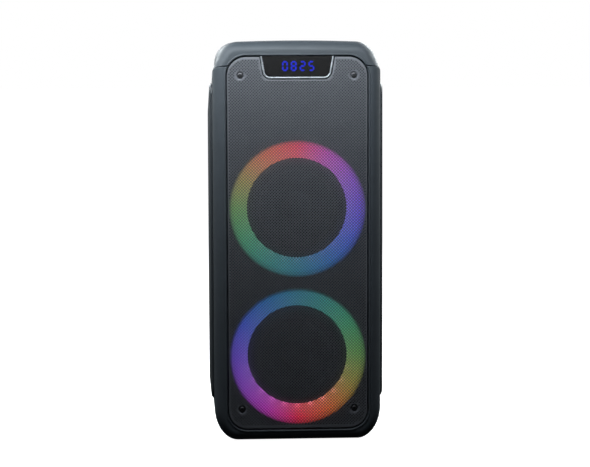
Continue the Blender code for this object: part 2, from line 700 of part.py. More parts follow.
def make_volume_knob(x, y, level, paint):
    shaft_foot = level - BOARD_DROP + ENCODER_HEIGHT + GAP
    top = level + KNOB_HEIGHT
    profile = [
        (0, shaft_foot),
        (0.0030, shaft_foot),
        (0.0030, level + 0.0008),
        (KNOB_R, level + 0.0008),
        (KNOB_R, top - 0.0020),
        (KNOB_R - 0.0020, top),
        (KNOB_R - 0.0045, top),
        (KNOB_R - 0.0055, top - 0.0008),
        (0, top - 0.0008),
    ]
    knob = turned("volume_knob", profile, (x, y, 0), paint, along=ALONG_Z, steps=28)
    place, depth = (x + KNOB_R / 2, y, 0), 0.002
    return cut(knob, rod("knob_dimple", 0.0030, top - depth, top + depth, place, cutter=True, along=ALONG_Z,
                         steps=10))


def make_handle(paint):
    """Grip bar across the pocket, thicker where it meets the pocket's walls."""
    bm = bmesh.new()
    end = POCKET_HALF - GAP
    half = [(HANDLE_R, end - 0.012), (HANDLE_END_R, end - 0.006), (HANDLE_END_R, end), (0, end)]
    profile = [(r, -t) for r, t in reversed(half)] + half
    spin_profile(bm, [(t, 0, r) for r, t in profile], True, (1, 0, 0), 16)
    handle = as_object(bm, "carry_handle", paint)
    handle.location = (0, HANDLE_Y, HANDLE_Z)
    return handle


# ---- Back of the cabinet ------------------------------------------------------------------------
def plate_screw_places():
    return [(side_x * 0.0705, PLATE_Z + side_z * 0.0805) for side_z in (-1, 1) for side_x in (-1, 1)]


def make_connection_panel(paints):
    low, high = PLATE_FACE - PLATE_THICK, PLATE_FACE
    half_z = PLATE_HALF_Z - GAP
    outline = rounded_box(PLATE_HALF_X - GAP, PLATE_Z - half_z, PLATE_Z + half_z, PLATE_R - GAP, 3)
    plate = prism("connection_panel", outline, low, high, paints["smoke"])
    round_holes = {name: (x, JACK_ROW, 0.0068) for name, x in MIC_JACKS.items()}
    round_holes["mic_volume_knob"] = (MIC_KNOB_X, JACK_ROW, 0.0040)
    round_holes["aux_jack"] = (AUX_X, SOCKET_ROW, 0.0038)
    start, end = low - 0.01, high + 0.01
    for name, (x, z, radius) in round_holes.items():
        cut(plate, rod(f"{name}_hole", radius, start, end, (x, 0, z), cutter=True, steps=16))
    square_holes = {
        "usb_socket": (USB_X, SOCKET_ROW, 0.0078, 0.0042),
        "mains_inlet": (INLET_X, POWER_ROW, 0.0135, 0.0095),
        "power_rocker": (SWITCH_X, POWER_ROW, 0.0075, 0.0115),
    }
    for name, (x, z, half_x, half_z) in square_holes.items():
        corners = (x - half_x, start, z - half_z), (x + half_x, end, z + half_z)
        cut(plate, box(f"{name}_hole", *corners, cutter=True))
    for n, (x, z) in enumerate(plate_screw_places(), 1):
        cut(plate, rod(f"plate_hole_{n}", 0.0024, start, end, (x, 0, z), cutter=True, steps=8))
        make_screw(f"panel_screw_{n}", x, z, PLATE_FACE, -0.009, paints["black_steel"])


def make_jacks(paints):
    """Quarter-inch microphone sockets, the small line input and the USB socket."""
    face = PLATE_FACE
    mic = [
        (0.0033, face - 0.0200),
        (0.0033, face + 0.0030),
        (0.0060, face + 0.0030),
        (0.0090, face + 0.0016),
        (0.0090, face + GAP),
        (0.0065, face + GAP),
        (0.0065, face - 0.0040),
        (0.0078, face - 0.0040),
        (0.0078, face - 0.0200),
    ]
    for name, x in MIC_JACKS.items():
        turned(name, mic, (x, 0, JACK_ROW), paints["button"], steps=14)
    line = [
        (0.0018, face - 0.0120),
        (0.0018, face + 0.0012),
        (0.0035, face + 0.0012),
        (0.0035, face - 0.0035),
        (0.0045, face - 0.0035),
        (0.0045, face - 0.0120),
    ]
    turned("aux_jack", line, (AUX_X, 0, SOCKET_ROW), paints["button"], steps=16)
    x, z = USB_X, SOCKET_ROW
    half_x, half_z, wall = 0.0072, 0.0036, 0.0008
    shell = (x - half_x, face - 0.0150, z - half_z), (x + half_x, face + 0.0006, z + half_z)
    usb = box("usb_socket", *shell, paints["steel"])
    half_x, half_z = half_x - wall, half_z - wall
    hollow = (x - half_x, face - 0.0125, z - half_z), (x + half_x, face + 0.01, z + half_z)
    cut(usb, box("usb_hollow", *hollow, cutter=True))


def make_mains_inlet(paint):
    """Two-pin inlet with a collar on the panel's face and the pins standing in its slot."""
    face = PLATE_FACE
    x, z = INLET_X, POWER_ROW
    body = (x - 0.0130, face - 0.0180, z - 0.0090), (x + 0.0130, face + 0.0012, z + 0.0090)
    inlet = box("mains_inlet", *body, paint)
    collar = moved(rounded_box(0.0165, -0.0125, 0.0125, 0.003, 3), x, z)
    join(inlet, prism("inlet_collar", collar, face + GAP, face + 0.0022))
    slot = moved(pill(0.0088, 0.0045), x, z)
    cut(inlet, prism("inlet_slot", slot, face - 0.0145, face + 0.01, cutter=True))
    for side in (-1, 1):
        place = (x + side * 0.0043, 0, z)
        join(inlet, rod(f"inlet_pin_{side}", 0.0012, face - 0.0150, face - 0.0025, place, steps=8))
    return inlet


def make_power_rocker(paint):
    """Rocker of the power switch, hollowed for the finger, drawn level and then leant to its off side."""
    half, depth = 0.0102, 0.0050
    outline = [
        (-depth, -half),
        (ROCKER_PIVOT + 0.0022, -half),
        (ROCKER_PIVOT + 0.0010, 0),
        (ROCKER_PIVOT + 0.0022, half),
        (-depth, half),
    ]
    rocker = prism("power_rocker", outline, -0.0070, 0.0070, paint, plane="yz")
    rocker.location = (SWITCH_X, PLATE_FACE - ROCKER_PIVOT, POWER_ROW)
    rocker.rotation_euler = (ROCKER_TILT, 0, 0)
    return rocker


def make_mic_knob(paint):
    face, tip = PLATE_FACE, DEPTH / 2
    profile = [
        (0, face - 0.0080),
        (0.0030, face - 0.0080),
        (0.0030, face + 0.0010),
        (0.0085, face + 0.0010),
        (0.0085, tip - 0.0008),
        (0.0077, tip),
        (0, tip),
    ]
    knob = turned("mic_volume_knob", profile, (MIC_KNOB_X, 0, JACK_ROW), paint, steps=20)
    half = 0.0007
    low = (MIC_KNOB_X - half, tip - 0.0008, JACK_ROW + 0.0015)
    high = (MIC_KNOB_X + half, tip + 0.01, JACK_ROW + 0.02)
    return cut(knob, box("mic_knob_groove", low, high, cutter=True))


def make_port(paint):
    """Bass port: a tube that flares into a flange on the cabinet's back."""
    outside, lip = PORT_R + PORT_WALL, REAR + 0.0028
    flare = arc(PORT_R + PORT_FLARE, lip - PORT_FLARE, PORT_FLARE, PORT_FLARE, pi, pi / 2, 4)
    profile = [
        (PORT_R, REAR - PORT_LENGTH),
        *flare,
        (PORT_FLANGE_R - 0.0012, lip),
        (PORT_FLANGE_R, lip - 0.0012),
        (PORT_FLANGE_R, REAR + GAP),
        (PORT_HOLE_R - 0.0008, REAR + GAP),
        (outside, REAR - 0.0150),
        (outside, REAR - PORT_LENGTH),
    ]
    return turned("bass_port", profile, (0, 0, PORT_Z), paint, steps=28)


def foot_places():
    return [(side * FOOT_X, y) for y in (FOOT_FRONT, FOOT_BACK) for side in (-1, 1)]


def make_feet(paint):
    """Stick-on rubber discs."""
    top = BASE - GAP
    for n, (x, y) in enumerate(foot_places(), 1):
        profile = [(0, 0), (FOOT_R - 0.0012, 0), (FOOT_R, 0.0012), (FOOT_R, top), (0, top)]
        turned(f"foot_{n}", profile, (x, y, 0), paint, along=ALONG_Z, steps=16)


def make_amplifier(paint):
    """Board behind the connection panel. It carries the heat sink, capacitors, transformer, the bodies of
    the switch and the microphone control, and four posts that reach the panel."""
    back, front = AMPLIFIER_BACK, AMPLIFIER_BACK - 0.0300
    root = back - 0.0010
    board = box("amplifier_board", (-0.062, back - 0.0016, 0.138), (0.062, back, 0.272), paint)
    join(board, box("heat_sink", (-0.050, front, 0.222), (0.050, root, 0.262)))
    join(board, rod("reservoir_1", 0.0090, front, root, (-0.038, 0, 0.180), steps=12))
    join(board, rod("reservoir_2", 0.0090, front, root, (-0.014, 0, 0.180), steps=12))
    join(board, box("transformer", (0.010, front + 0.004, 0.155), (0.048, root, 0.205)))
    switch_back = PLATE_FACE - ROCKER_PIVOT - 0.0075
    half_x, half_z = 0.0072, 0.0110
    low = (SWITCH_X - half_x, root, POWER_ROW - half_z)
    join(board, box("switch_body", low, (SWITCH_X + half_x, switch_back, POWER_ROW + half_z)))
    half = 0.008
    low = (MIC_KNOB_X - half, root, JACK_ROW - half)
    control_back = PLATE_FACE - 0.0080 - GAP
    join(board, box("mic_control_body", low, (MIC_KNOB_X + half, control_back, JACK_ROW + half)))
    places = [(side * 0.058, z) for z in (0.143, 0.267) for side in (-1, 1)]
    for n, (x, z) in enumerate(places, 1):
        join(board, rod(f"standoff_{n}", 0.0030, root, PLATE_FACE - PLATE_THICK - GAP, (x, 0, z), steps=8))
    return board


def make_battery(paint):
    floor = BASE + CABINET_WALL + GAP
    return box("battery_pack", (-0.060, FRONT + 0.125, floor), (0.060, FRONT + 0.190, floor + 0.058), paint)


def main():
    clear_scene()
    paints = make_materials()
    make_front_baffle(paints["shell"])
    make_cabinet(paints["shell"])
    make_top_cover(paints["shell"])
    make_side_panel("side_panel_left", -1, paints["side"])
    make_side_panel("side_panel_right", 1, paints["side"])
    make_grille(paints["mesh"])
    for n, (x, z) in enumerate(grille_screw_places(), 1):
        make_screw(f"grille_screw_{n}", x, z, GRILLE_FACE + DIMPLE_DEPTH, 0.009, paints["black_steel"])
    make_display(paints)
    for name, z in DRIVERS.items():
        make_light_ring(name, z, paints)
        make_basket(name, z, paints["black_steel"])
        make_surround(name, z, paints["rubber"])
        make_cone(name, z, paints)
        make_motor(name, z, paints)
    make_controls(paints)
    make_handle(paints["rubber"])
    make_connection_panel(paints)
    make_jacks(paints)
    make_mains_inlet(paints["button"])
    make_power_rocker(paints["button"])
    make_mic_knob(paints["button"])
    make_port(paints["shell"])
    make_feet(paints["rubber"])
    make_amplifier(paints["board"])
    make_battery(paints["battery"])


main()
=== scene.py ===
"""Looks of the party speaker: fine meshes, materials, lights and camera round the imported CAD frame.

Metres, +Z up, and the front faces -Y. Depths are measured back from FRONT, the plane of the bezel.
"""
from math import acos, atan2, ceil, cos, floor, hypot, pi, radians, sin, sqrt, tan

import bmesh
import bpy
from mathutils import Matrix, Vector
from mathutils.geometry import delaunay_2d_cdt


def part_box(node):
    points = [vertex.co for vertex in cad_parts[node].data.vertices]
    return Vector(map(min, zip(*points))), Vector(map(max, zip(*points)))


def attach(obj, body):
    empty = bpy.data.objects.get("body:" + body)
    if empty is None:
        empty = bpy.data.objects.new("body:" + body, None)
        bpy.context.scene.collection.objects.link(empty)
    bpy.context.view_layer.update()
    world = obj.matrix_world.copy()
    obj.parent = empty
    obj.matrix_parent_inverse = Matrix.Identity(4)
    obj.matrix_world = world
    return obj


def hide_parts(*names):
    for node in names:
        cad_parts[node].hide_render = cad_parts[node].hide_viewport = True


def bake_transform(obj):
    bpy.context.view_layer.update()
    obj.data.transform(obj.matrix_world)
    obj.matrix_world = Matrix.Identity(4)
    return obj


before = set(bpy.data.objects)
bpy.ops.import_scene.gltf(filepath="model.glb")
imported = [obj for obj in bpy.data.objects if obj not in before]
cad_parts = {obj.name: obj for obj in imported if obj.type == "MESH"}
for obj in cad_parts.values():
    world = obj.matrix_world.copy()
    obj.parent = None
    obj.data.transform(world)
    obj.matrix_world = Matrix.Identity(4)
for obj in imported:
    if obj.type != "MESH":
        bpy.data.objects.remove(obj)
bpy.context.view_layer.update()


# ---- Places read from the frame ----
def middle(node):
    low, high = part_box(node)
    return (low + high) / 2


(_, FRONT, _), (_, BAFFLE_BACK, SEAM_FRONT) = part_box("front_baffle")
(_, _, BASE), (HALF_WIDTH, REAR, _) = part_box("cabinet")
(_, GRILLE_FACE, GRILLE_LOW), (GRILLE_HALF, _, GRILLE_HIGH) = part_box("grille")
(_, _, TAB_LOW), (TAB_TOP_HALF, _, TAB_TOP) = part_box("display_bezel")
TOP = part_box("top_cover")[1].z
PLATE_LOW, PLATE_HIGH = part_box("connection_panel")
PLATE_FACE = PLATE_HIGH.y
PANEL_LOW, PANEL_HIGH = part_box("control_panel")
PANEL_LEVEL = PANEL_HIGH.z
DRIVERS = {name: middle(f"led_diffuser_{name}").z for name in ("upper", "lower")}
GRILLE_SCREWS = [middle(f"grille_screw_{n}") for n in range(1, 5)]
PORT_Z = middle("bass_port").z
MIC_JACKS = ("mic_jack_1", "mic_jack_2")

# ---- Dimensions of the fine shape, in metres ----
GAP = 0.0003
BOTTOM_CORNER_X, BOTTOM_CORNER_Z = 0.034, 0.048
SIDE_R, SIDE_CHAMFER, SIDE_DISH = 0.016, 0.0036, 0.0005
TOP_CORNER_X, TOP_CORNER_R = 0.0836, 0.030
CROWN = 0.0015
SEAM_SLOPE, SEAM_KINK = 0.275, 0.002
FRONT_ROUND_INSET, FRONT_ROUND_DEPTH = 0.0145, 0.019
REAR_ROUND = 0.016
FLANK_SPANS = 10
WALL, CABINET_WALL, REAR_WALL = 0.004, 0.005, 0.008
GRILLE_R, GRILLE_THICK, GRILLE_RIM = 0.0275, 0.0012, 0.0060
RECESS_GAP = 0.001
EDGE_BACK = 0.0006       # how far the recess and the sheet's edge each draw back from the gap
BEAD_OUT, BEAD_R = 0.0013, 0.0013
GROOVE_HALF, GROOVE_DEPTH = 0.0010, 0.0014
BOARD_FACE, BOARD_THICK = FRONT + 0.009, 0.004
TAB_LOW_HALF, TAB_R, TAB_RIM = 0.0471, 0.0105, 0.0024
TAB_LEAN = (TAB_TOP_HALF - TAB_LOW_HALF) / (GRILLE_HIGH - TAB_LOW)
WELL_R, WELL_FLOOR, CUP_WALL = 0.0993, FRONT + 0.0305, 0.0035
DRIVER_HOLE_R, PORT_HOLE_R, PILOT_R = 0.075, 0.0345, 0.0018
ARCH_R, ARCH_HALF_WIDTH, ARCH_SWEEP = 0.137, 0.0016, radians(78)
TRAY_DEPTH, TRAY_R, TRAY_WALL, TRAY_LEDGE = 0.015, 0.014, 0.003, 0.006
POCKET_HALF, POCKET_FRONT, POCKET_LOW = 0.070, FRONT + 0.180, 0.528
PLATE_RECESS, PLATE_LEDGE = 0.005, 0.009
OVER, FAR = 0.01, 0.02   # how far a cutter and a block reach past what they cut
EDGE_R = 0.0012          # rounding of the shell's openings
RECESS_LIP, TRAY_LIP, POCKET_LIP = 0.0003, 0.0016, 0.0020
PLATE_R, POCKET_R = 0.004, 0.004
FOLD_R = 0.0006          # rounding of the sheet's folded edge

# The perforation: square holes in a lattice turned by 45 degrees
HOLE_PITCH, HOLE_HALF = 0.00305, 0.00104
HALF_CELL = HOLE_HALF / HOLE_PITCH
PLAIN_SIDE, PLAIN_END, PLAIN_ROUND_TAB, PLAIN_ROUND_SCREW = 0.0016, 0.0040, 0.0022, 0.0080
DIMPLE_R, DIMPLE_DEPTH, DIMPLE_WALL = 0.0056, 0.0024, 0.0009

DIGITS = "0825"
DIGIT_CENTRE_X, DIGIT_CENTRE_Z, DIGIT_PITCH, DIGIT_MIDDLE = 0.0014, 0.5436, 0.0124, 0.0002
DIGIT_HALF_X, DIGIT_HALF_Z, SEGMENT, SEGMENT_GAP = 0.0031, 0.0060, 0.0024, 0.00025
# Which bars each numeral lights: top, upper left, upper right, middle, lower left, lower right, bottom
SEVEN_SEGMENT = {"0": "1110111", "2": "1011101", "5": "1101011", "8": "1111111"}

SCREW_HEAD_R, SCREW_HEAD, SCREW_SHANK_R, SCREW_SOCKET_R = 0.0041, 0.0022, 0.0015, 0.0021
STEM_R, SHAFT_R, FLUTE_DEPTH = 0.0020, 0.0030, 0.0005
PRINT_SUNK, PRINT_THICK = 0.00005, 0.00012
TURN = 2 * pi
HOUSING = "housing"

# ---- Light ----
RING_OUTER_R, RING_INNER_R = 0.0978, 0.0722
LAMPS = 24
RING_STRENGTH = 1.0
SPOT_WHITE, SPOT_GAIN, SPOT_COLOUR = 0.25, 0.9, (1.0, 0.40, 0.62)
LOW_BOOST = {"glow_upper": 1.0, "glow_lower": 1.15}
SPOTS = {"glow_upper": 0.25, "glow_lower": 1.0}
# Round the upper ring from its right-hand side, anticlockwise, in twelfths of a turn
RING_COLOURS = [
    (0.17, 0.10, 0.68), (0.30, 0.09, 0.62), (0.52, 0.06, 0.50), (0.80, 0.05, 0.10),
    (0.64, 0.15, 0.05), (0.36, 0.28, 0.06), (0.15, 0.34, 0.09), (0.06, 0.34, 0.16),
    (0.04, 0.28, 0.24), (0.03, 0.22, 0.32), (0.03, 0.16, 0.46), (0.07, 0.12, 0.62),
]
ROOM_COLOUR, ROOM_LOW, ROOM_HIGH = (0.9, 0.95, 1.0, 1), 0.008, 0.06
FLOOR_GLOW = 1.0
WHITE = (1, 1, 1, 1)
COOL, PALE = (0.88, 0.95, 1.0), (0.92, 0.98, 1.0)
CAMERA_PLACE = Vector((-0.170, FRONT - 2.8, 0.56))
CAMERA_AIM = Vector((-0.0040, FRONT, 0.3044))
CAMERA_ROLL, CAMERA_LENS = radians(-0.2), 119.9


# ---- Material tools ----
def adjust(thing, **values):
    """Sets several of a thing's properties."""
    for key, value in values.items():
        setattr(thing, key, value)
    return thing


def fill(node, **values):
    """Sets a node's inputs. An underscore stands for a space in an input's name."""
    for key, value in values.items():
        node.inputs[key.replace("_", " ")].default_value = value


class Nodes:
    """A short way to build the node tree of a material or a world."""

    def __init__(self, owner):
        owner.use_nodes = True
        self.tree = owner.node_tree

    def add(self, kind, **settings):
        return adjust(self.tree.nodes.new(kind), **settings)

    def link(self, source, target):
        self.tree.links.new(source, target)

    def spread(self, source, low, high, start=0.3, end=0.7):
        """A value between low and high, as source goes from start to end."""
        node = self.add("ShaderNodeMapRange")
        fill(node, From_Min=start, From_Max=end, To_Min=low, To_Max=high)
        self.link(source, node.inputs["Value"])
        return node.outputs["Result"]

    def split(self, source):
        node = self.add("ShaderNodeSeparateXYZ")
        self.link(source, node.inputs["Vector"])
        return node.outputs


class Finish(Nodes):
    """A material, its shader and its place on the object."""

    def __init__(self, name):
        self.material = bpy.data.materials.new(name)
        super().__init__(self.material)
        self.shader = self.tree.nodes["Principled BSDF"]
        self.place = self.add("ShaderNodeTexCoord").outputs["Object"]

    def drive(self, source, key):
        self.link(source, self.shader.inputs[key])

    def noise(self, scale, detail=2.0, stretch=(1, 1, 1)):
        place = self.place
        if stretch != (1, 1, 1):
            mapping = self.add("ShaderNodeMapping")
            fill(mapping, Scale=stretch)
            self.link(place, mapping.inputs["Vector"])
            place = mapping.outputs["Vector"]
        node = self.add("ShaderNodeTexNoise")
        fill(node, Scale=scale, Detail=detail)
        self.link(place, node.inputs["Vector"])
        return node.outputs["Fac"]

    def blend(self, factor, first, second):
        """A colour between two, each of them a colour or a node's output."""
        node = self.add("ShaderNodeMix", data_type="RGBA")
        self.link(factor, node.inputs["Factor"])
        for key, colour in (("A", first), ("B", second)):
            if isinstance(colour, tuple):
                node.inputs[key].default_value = (*colour, 1)
            else:
                self.link(colour, node.inputs[key])
        return node.outputs["Result"]

    def math(self, operation, *values):
        node = self.add("ShaderNodeMath", operation=operation)
        for socket, value in zip(node.inputs, values):
            if isinstance(value, (int, float)):
                socket.default_value = value
            else:
                self.link(value, socket)
        return node.outputs["Value"]

    def plus(self, first, second):
        return self.math("ADD", first, second)

    def times(self, first, second):
        return self.math("MULTIPLY", first, second)

    def bump(self, source, height):
        node = self.add("ShaderNodeBump")
        fill(node, Strength=1.0, Distance=height)
        self.link(source, node.inputs["Height"])
        self.drive(node.outputs["Normal"], "Normal")


def surface(name, colour, roughness, metallic=0.0, vary=0.12, grain=2600, height=0.00002, wander=0.05,
            coat=0.0, stretch=(1, 1, 1)):
    """A moulded, painted or rubber surface: fine grain, faint mottling and uneven gloss."""
    made = Finish(name)
    darker = tuple(c * (1 - vary) for c in colour)
    lighter = tuple(min(1, c * (1 + vary)) for c in colour)
    made.drive(made.blend(made.noise(38, 3.0), darker, lighter), "Base Color")
    made.drive(made.spread(made.noise(90, 4.0), roughness - wander, roughness + wander), "Roughness")
    fill(made.shader, Metallic=metallic, Coat_Weight=coat, Coat_Roughness=0.08)
    if height:
        made.bump(made.noise(grain, 2.0, stretch), height)
    return made.material


def ring_light(name, half_turn):
    """Glow of a light ring: its colour goes round the rainbow and is brightest at each lamp."""
    made = Finish(name)
    place = made.split(made.place)
    x, z = place["X"], place["Z"]
    angle = made.math("ARCTAN2", z, x)
    share = made.math("FRACT", made.plus(made.math("DIVIDE", angle, TURN), 0.5 if half_turn else 0.0))
    ramp = made.add("ShaderNodeValToRGB")
    stops = ramp.color_ramp.elements
    colours = RING_COLOURS + RING_COLOURS[:1]
    while len(stops) < len(colours):
        stops.new(0.5)
    for n, colour in enumerate(colours):
        stops[n].position = n / (len(colours) - 1)
        stops[n].color = (*colour, 1)
    made.link(share, ramp.inputs["Fac"])
    radius = made.math("SQRT", made.plus(made.times(x, x), made.times(z, z)))
    wave = made.plus(made.times(made.math("COSINE", made.times(angle, LAMPS)), 0.5), 0.5)
    near = made.spread(radius, 1.0, 0.0, RING_INNER_R, RING_INNER_R + 0.009)
    low = made.spread(z, SPOTS[name], 0.0, -RING_INNER_R, RING_INNER_R * 0.15)
    spot = made.times(made.times(made.math("POWER", wave, 2.0), near), low)
    white = made.blend(made.times(spot, SPOT_WHITE), ramp.outputs["Color"], SPOT_COLOUR)
    edge = made.spread(radius, 1.0, 0.25, RING_OUTER_R - 0.007, RING_OUTER_R)
    height = made.spread(z, LOW_BOOST[name], 1.0, -RING_OUTER_R, 0.0)
    strength = made.times(made.times(edge, height), RING_STRENGTH)
    strength = made.times(strength, made.plus(made.times(spot, SPOT_GAIN), 1.0))
    deep = made.add("ShaderNodeHueSaturation")
    vivid = made.spread(radius, 0.98, 1.08, RING_INNER_R + 0.006, RING_OUTER_R - 0.002)
    made.link(vivid, deep.inputs["Saturation"])
    made.link(white, deep.inputs["Color"])
    made.drive(deep.outputs["Color"], "Emission Color")
    made.drive(strength, "Emission Strength")
    fill(made.shader, Base_Color=(0.10, 0.10, 0.11, 1), Roughness=0.5)
    made.bump(made.noise(900), 0.00002)
    return made.material


def lamp(name, colour, strength):
    made = Finish(name)
    fill(made.shader, Base_Color=(0.002, 0.004, 0.03, 1), Roughness=0.6, Specular_IOR_Level=0.2)
    fill(made.shader, Emission_Color=(*colour, 1), Emission_Strength=strength)
    return made.material


MATERIALS = {
    "shell": surface("shell_plastic", (0.036, 0.044, 0.052), 0.58, grain=2400, height=0.000018),
    "side": surface("side_plastic", (0.030, 0.035, 0.040), 0.46, grain=1800),
    "mesh": surface("grille_paint", (0.122, 0.126, 0.140), 0.46, 0.2, grain=1500, height=0.00001),
    # Pale satin grey: on the display's rim it is a painted highlight, standing in for the light line along
    # the rim's edge; on the volume knob it is the trim band's own colour.
    "trim": surface("pale_band_and_painted_highlight_plastic", (0.34, 0.36, 0.38), 0.28, 0.35, vary=0.04, height=0.00001),
    "smoke": surface("smoked_window", (0.010, 0.0095, 0.0095), 0.22, vary=0.05, height=0, wander=0.03),
    "panel": surface("gloss_panel", (0.012, 0.012, 0.013), 0.34, vary=0.05, height=0.000004, wander=0.04,
                     coat=0.1),
    "circuit": surface("circuit_board", (0.010, 0.075, 0.030), 0.45, vary=0.25, grain=600, height=0.00003),
    "steel": surface("zinc_steel", (0.55, 0.55, 0.56), 0.28, 1.0, vary=0.05, stretch=(1, 8, 1)),
    "black_steel": surface("black_steel", (0.050, 0.052, 0.055), 0.34, 0.7, vary=0.1),
    "screw": surface("screw_head", (0.058, 0.058, 0.061), 0.36, 0.8, vary=0.08),
    "paper": surface("cone_paper", (0.016, 0.017, 0.018), 0.72, vary=0.25, grain=700, height=0.00008),
    "rubber": surface("rubber", (0.014, 0.014, 0.015), 0.60, vary=0.1, grain=1200, height=0.00003),
    "ferrite": surface("ferrite", (0.035, 0.035, 0.037), 0.70, vary=0.2, grain=900, height=0.00005),
    "spider": surface("spider_cloth", (0.36, 0.21, 0.08), 0.85, vary=0.25, grain=1400, height=0.0001),
    "control": surface("control_plastic", (0.020, 0.020, 0.021), 0.34, vary=0.08),
    "battery": surface("battery_wrap", (0.030, 0.085, 0.280), 0.38, vary=0.08, grain=300, height=0.00004),
    "print": surface("pale_print", (0.62, 0.64, 0.66), 0.50, vary=0.03, height=0),
    "digits": lamp("digit_glow", (0.004, 0.016, 0.92), 0.60),
    "glow_upper": ring_light("glow_upper", False),
    "glow_lower": ring_light("glow_lower", True),
}


# ---- Mesh tools ----
def placed(name, data):
    obj = bpy.data.objects.new(name, data)
    bpy.context.scene.collection.objects.link(obj)
    return obj


def as_object(bm, name, paint=None, sharp=35):
    """Makes an object of one mesh. With no sharp angle its plates stay apart and flat."""
    if sharp is not None:
        bmesh.ops.remove_doubles(bm, verts=bm.verts, dist=1e-7)
    bmesh.ops.recalc_face_normals(bm, faces=bm.faces)
    mesh = bpy.data.meshes.new(name)
    bm.to_mesh(mesh)
    bm.free()
    if sharp is not None:
        mesh.shade_smooth()
        mesh.set_sharp_from_angle(angle=radians(sharp))
    if paint:
        mesh.materials.append(MATERIALS[paint])
    return placed(name, mesh)


def finish_piece(obj, body=HOUSING, replaces=()):
    """Puts a finished mesh on its body and hides the CAD nodes it stands for."""
    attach(obj, body)
    if replaces:
        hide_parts(*replaces)


def even_shading(obj):
    """Keeps large flat faces flat beside small rounded edges."""
    adjust(obj.modifiers.new("even_shading", "WEIGHTED_NORMAL"), keep_sharp=True)
    return obj


def bevelled(obj, width):
    edge = obj.modifiers.new("edge", "BEVEL")
    adjust(edge, width=width, segments=2, limit_method="ANGLE", angle_limit=radians(40), harden_normals=False)
    return even_shading(obj)


def carve(obj, *steps):
    """Applies Booleans in turn, then removes their helper objects. A step is an operation and a helper."""
    for operation, other in steps:
        adjust(obj.modifiers.new(operation, "BOOLEAN"), operation=operation, object=other, solver="MANIFOLD")
    graph = bpy.context.evaluated_depsgraph_get()
    mesh = bpy.data.meshes.new_from_object(obj.evaluated_get(graph), depsgraph=graph)
    obj.modifiers.clear()
    obj.data = mesh
    for _, other in steps:
        bpy.data.objects.remove(other)
    mesh.shade_smooth()
    mesh.set_sharp_from_angle(angle=radians(30))


def less(other):
    return "DIFFERENCE", other


def plus(other):
    return "UNION", other


def within(other):
    return "INTERSECT", other


def ring_of(items):
    """Each item of a closed row with the one after it."""
    return list(zip(items, items[1:] + items[:1]))


def skin(bm, loops, capped=False):
    """Joins a row of closed loops that have the same number of points."""
    for first, second in zip(loops, loops[1:]):
        for (a, b), (d, c) in zip(ring_of(first), ring_of(second)):
            bm.faces.new((a, b, c, d))
    if capped:
        bm.faces.new(loops[0])
        bm.faces.new(loops[-1])


def loft(name, rings, paint=None, sharp=35):
    """Skins a row of loops and caps both ends."""
    bm = bmesh.new()
    skin(bm, [[bm.verts.new(p) for p in ring] for ring in rings], True)
    return as_object(bm, name, paint, sharp)


def closed_tube(name, loops):
    """Skins a row of closed loops and joins the last to the first, like a tyre."""
    bm = bmesh.new()
    verts = [[bm.verts.new(p) for p in loop] for loop in loops]
    skin(bm, verts + verts[:1])
    return as_object(bm, name)


# Where a point (a, b) drawn in the plane across an axis lies, when it is moved by c along that axis
ALONG = {
    "x": lambda a, b, c: (c, a, b),
    "y": lambda a, b, c: (a, c, b),
    "z": lambda a, b, c: (a, b, c),
}


def prism(name, outline, start, end, along="y", paint=None):
    place = ALONG[along]
    return loft(name, [[place(a, b, c) for a, b in outline] for c in (start, end)], paint)


def box(name, low, high):
    outline = [(low[0], low[1]), (high[0], low[1]), (high[0], high[1]), (low[0], high[1])]
    return prism(name, outline, low[2], high[2], "z")


def turned(name, profile, centre, paint=None, along="y", steps=96, sharp=35):
    """Spins a profile of (radius, distance) points round an axis through centre, closed if it is off it."""
    place = ALONG[along]
    bm = bmesh.new()
    verts = [bm.verts.new(place(r, 0, t)) for r, t in profile]
    pairs = list(zip(verts, verts[1:]))
    if profile[0][0] > 0:
        pairs.append((verts[-1], verts[0]))
    edges = [bm.edges.new(pair) for pair in pairs]
    spun = {"cent": (0, 0, 0), "axis": place(0, 0, 1), "angle": TURN, "steps": steps, "use_merge": True}
    bmesh.ops.spin(bm, geom=verts + edges, **spun)
    obj = as_object(bm, name, paint, sharp)
    obj.location = centre
    return obj


def rod(name, radius, start, end, centre, along="y", steps=48):
    return turned(name, [(0, start), (radius, start), (radius, end), (0, end)], centre, None, along, steps)


def arc(cx, cz, rx, rz, start, end, steps):
    """Points of an elliptical arc, both ends included, angles in radians."""
    angles = [start + (end - start) * k / steps for k in range(steps + 1)]
    return [(cx + rx * cos(a), cz + rz * sin(a)) for a in angles]


def quarter(steps):
    """How far a rounded edge is drawn in, and how far back, at each step round it, in radii."""
    turns = [pi / 2 * k / steps for k in range(steps + 1)]
    return [(1 - sin(t), 1 - cos(t)) for t in turns]


def rounded(corners, radii, steps=12):
    """A polygon with each corner turned into an arc of its own radius. A radius of 0 leaves it sharp."""
    outline = []
    for i, (corner, radius) in enumerate(zip(corners, radii)):
        if radius <= 0:
            outline.append(tuple(Vector(corner)))
            continue
        here = Vector(corner)
        back = (Vector(corners[i - 1]) - here).normalized()
        on = (Vector(corners[(i + 1) % len(corners)]) - here).normalized()
        half = back.angle(on) / 2
        reach = radius / tan(half)
        centre = here + (back + on).normalized() * (radius / sin(half))
        first, last = here + back * reach, here + on * reach
        begin = atan2(first.y - centre.y, first.x - centre.x)
        finish = atan2(last.y - centre.y, last.x - centre.x)
        sweep = (finish - begin + pi) % TURN - pi
        outline += arc(centre.x, centre.y, radius, radius, begin, begin + sweep, steps)
    return outline


def rectangle(half_x, low, high, x=0):
    return [(x - half_x, low), (x + half_x, low), (x + half_x, high), (x - half_x, high)]


def rounded_box(half_x, low, high, radius, steps=12):
    return rounded(rectangle(half_x, low, high), [radius] * 4, steps)


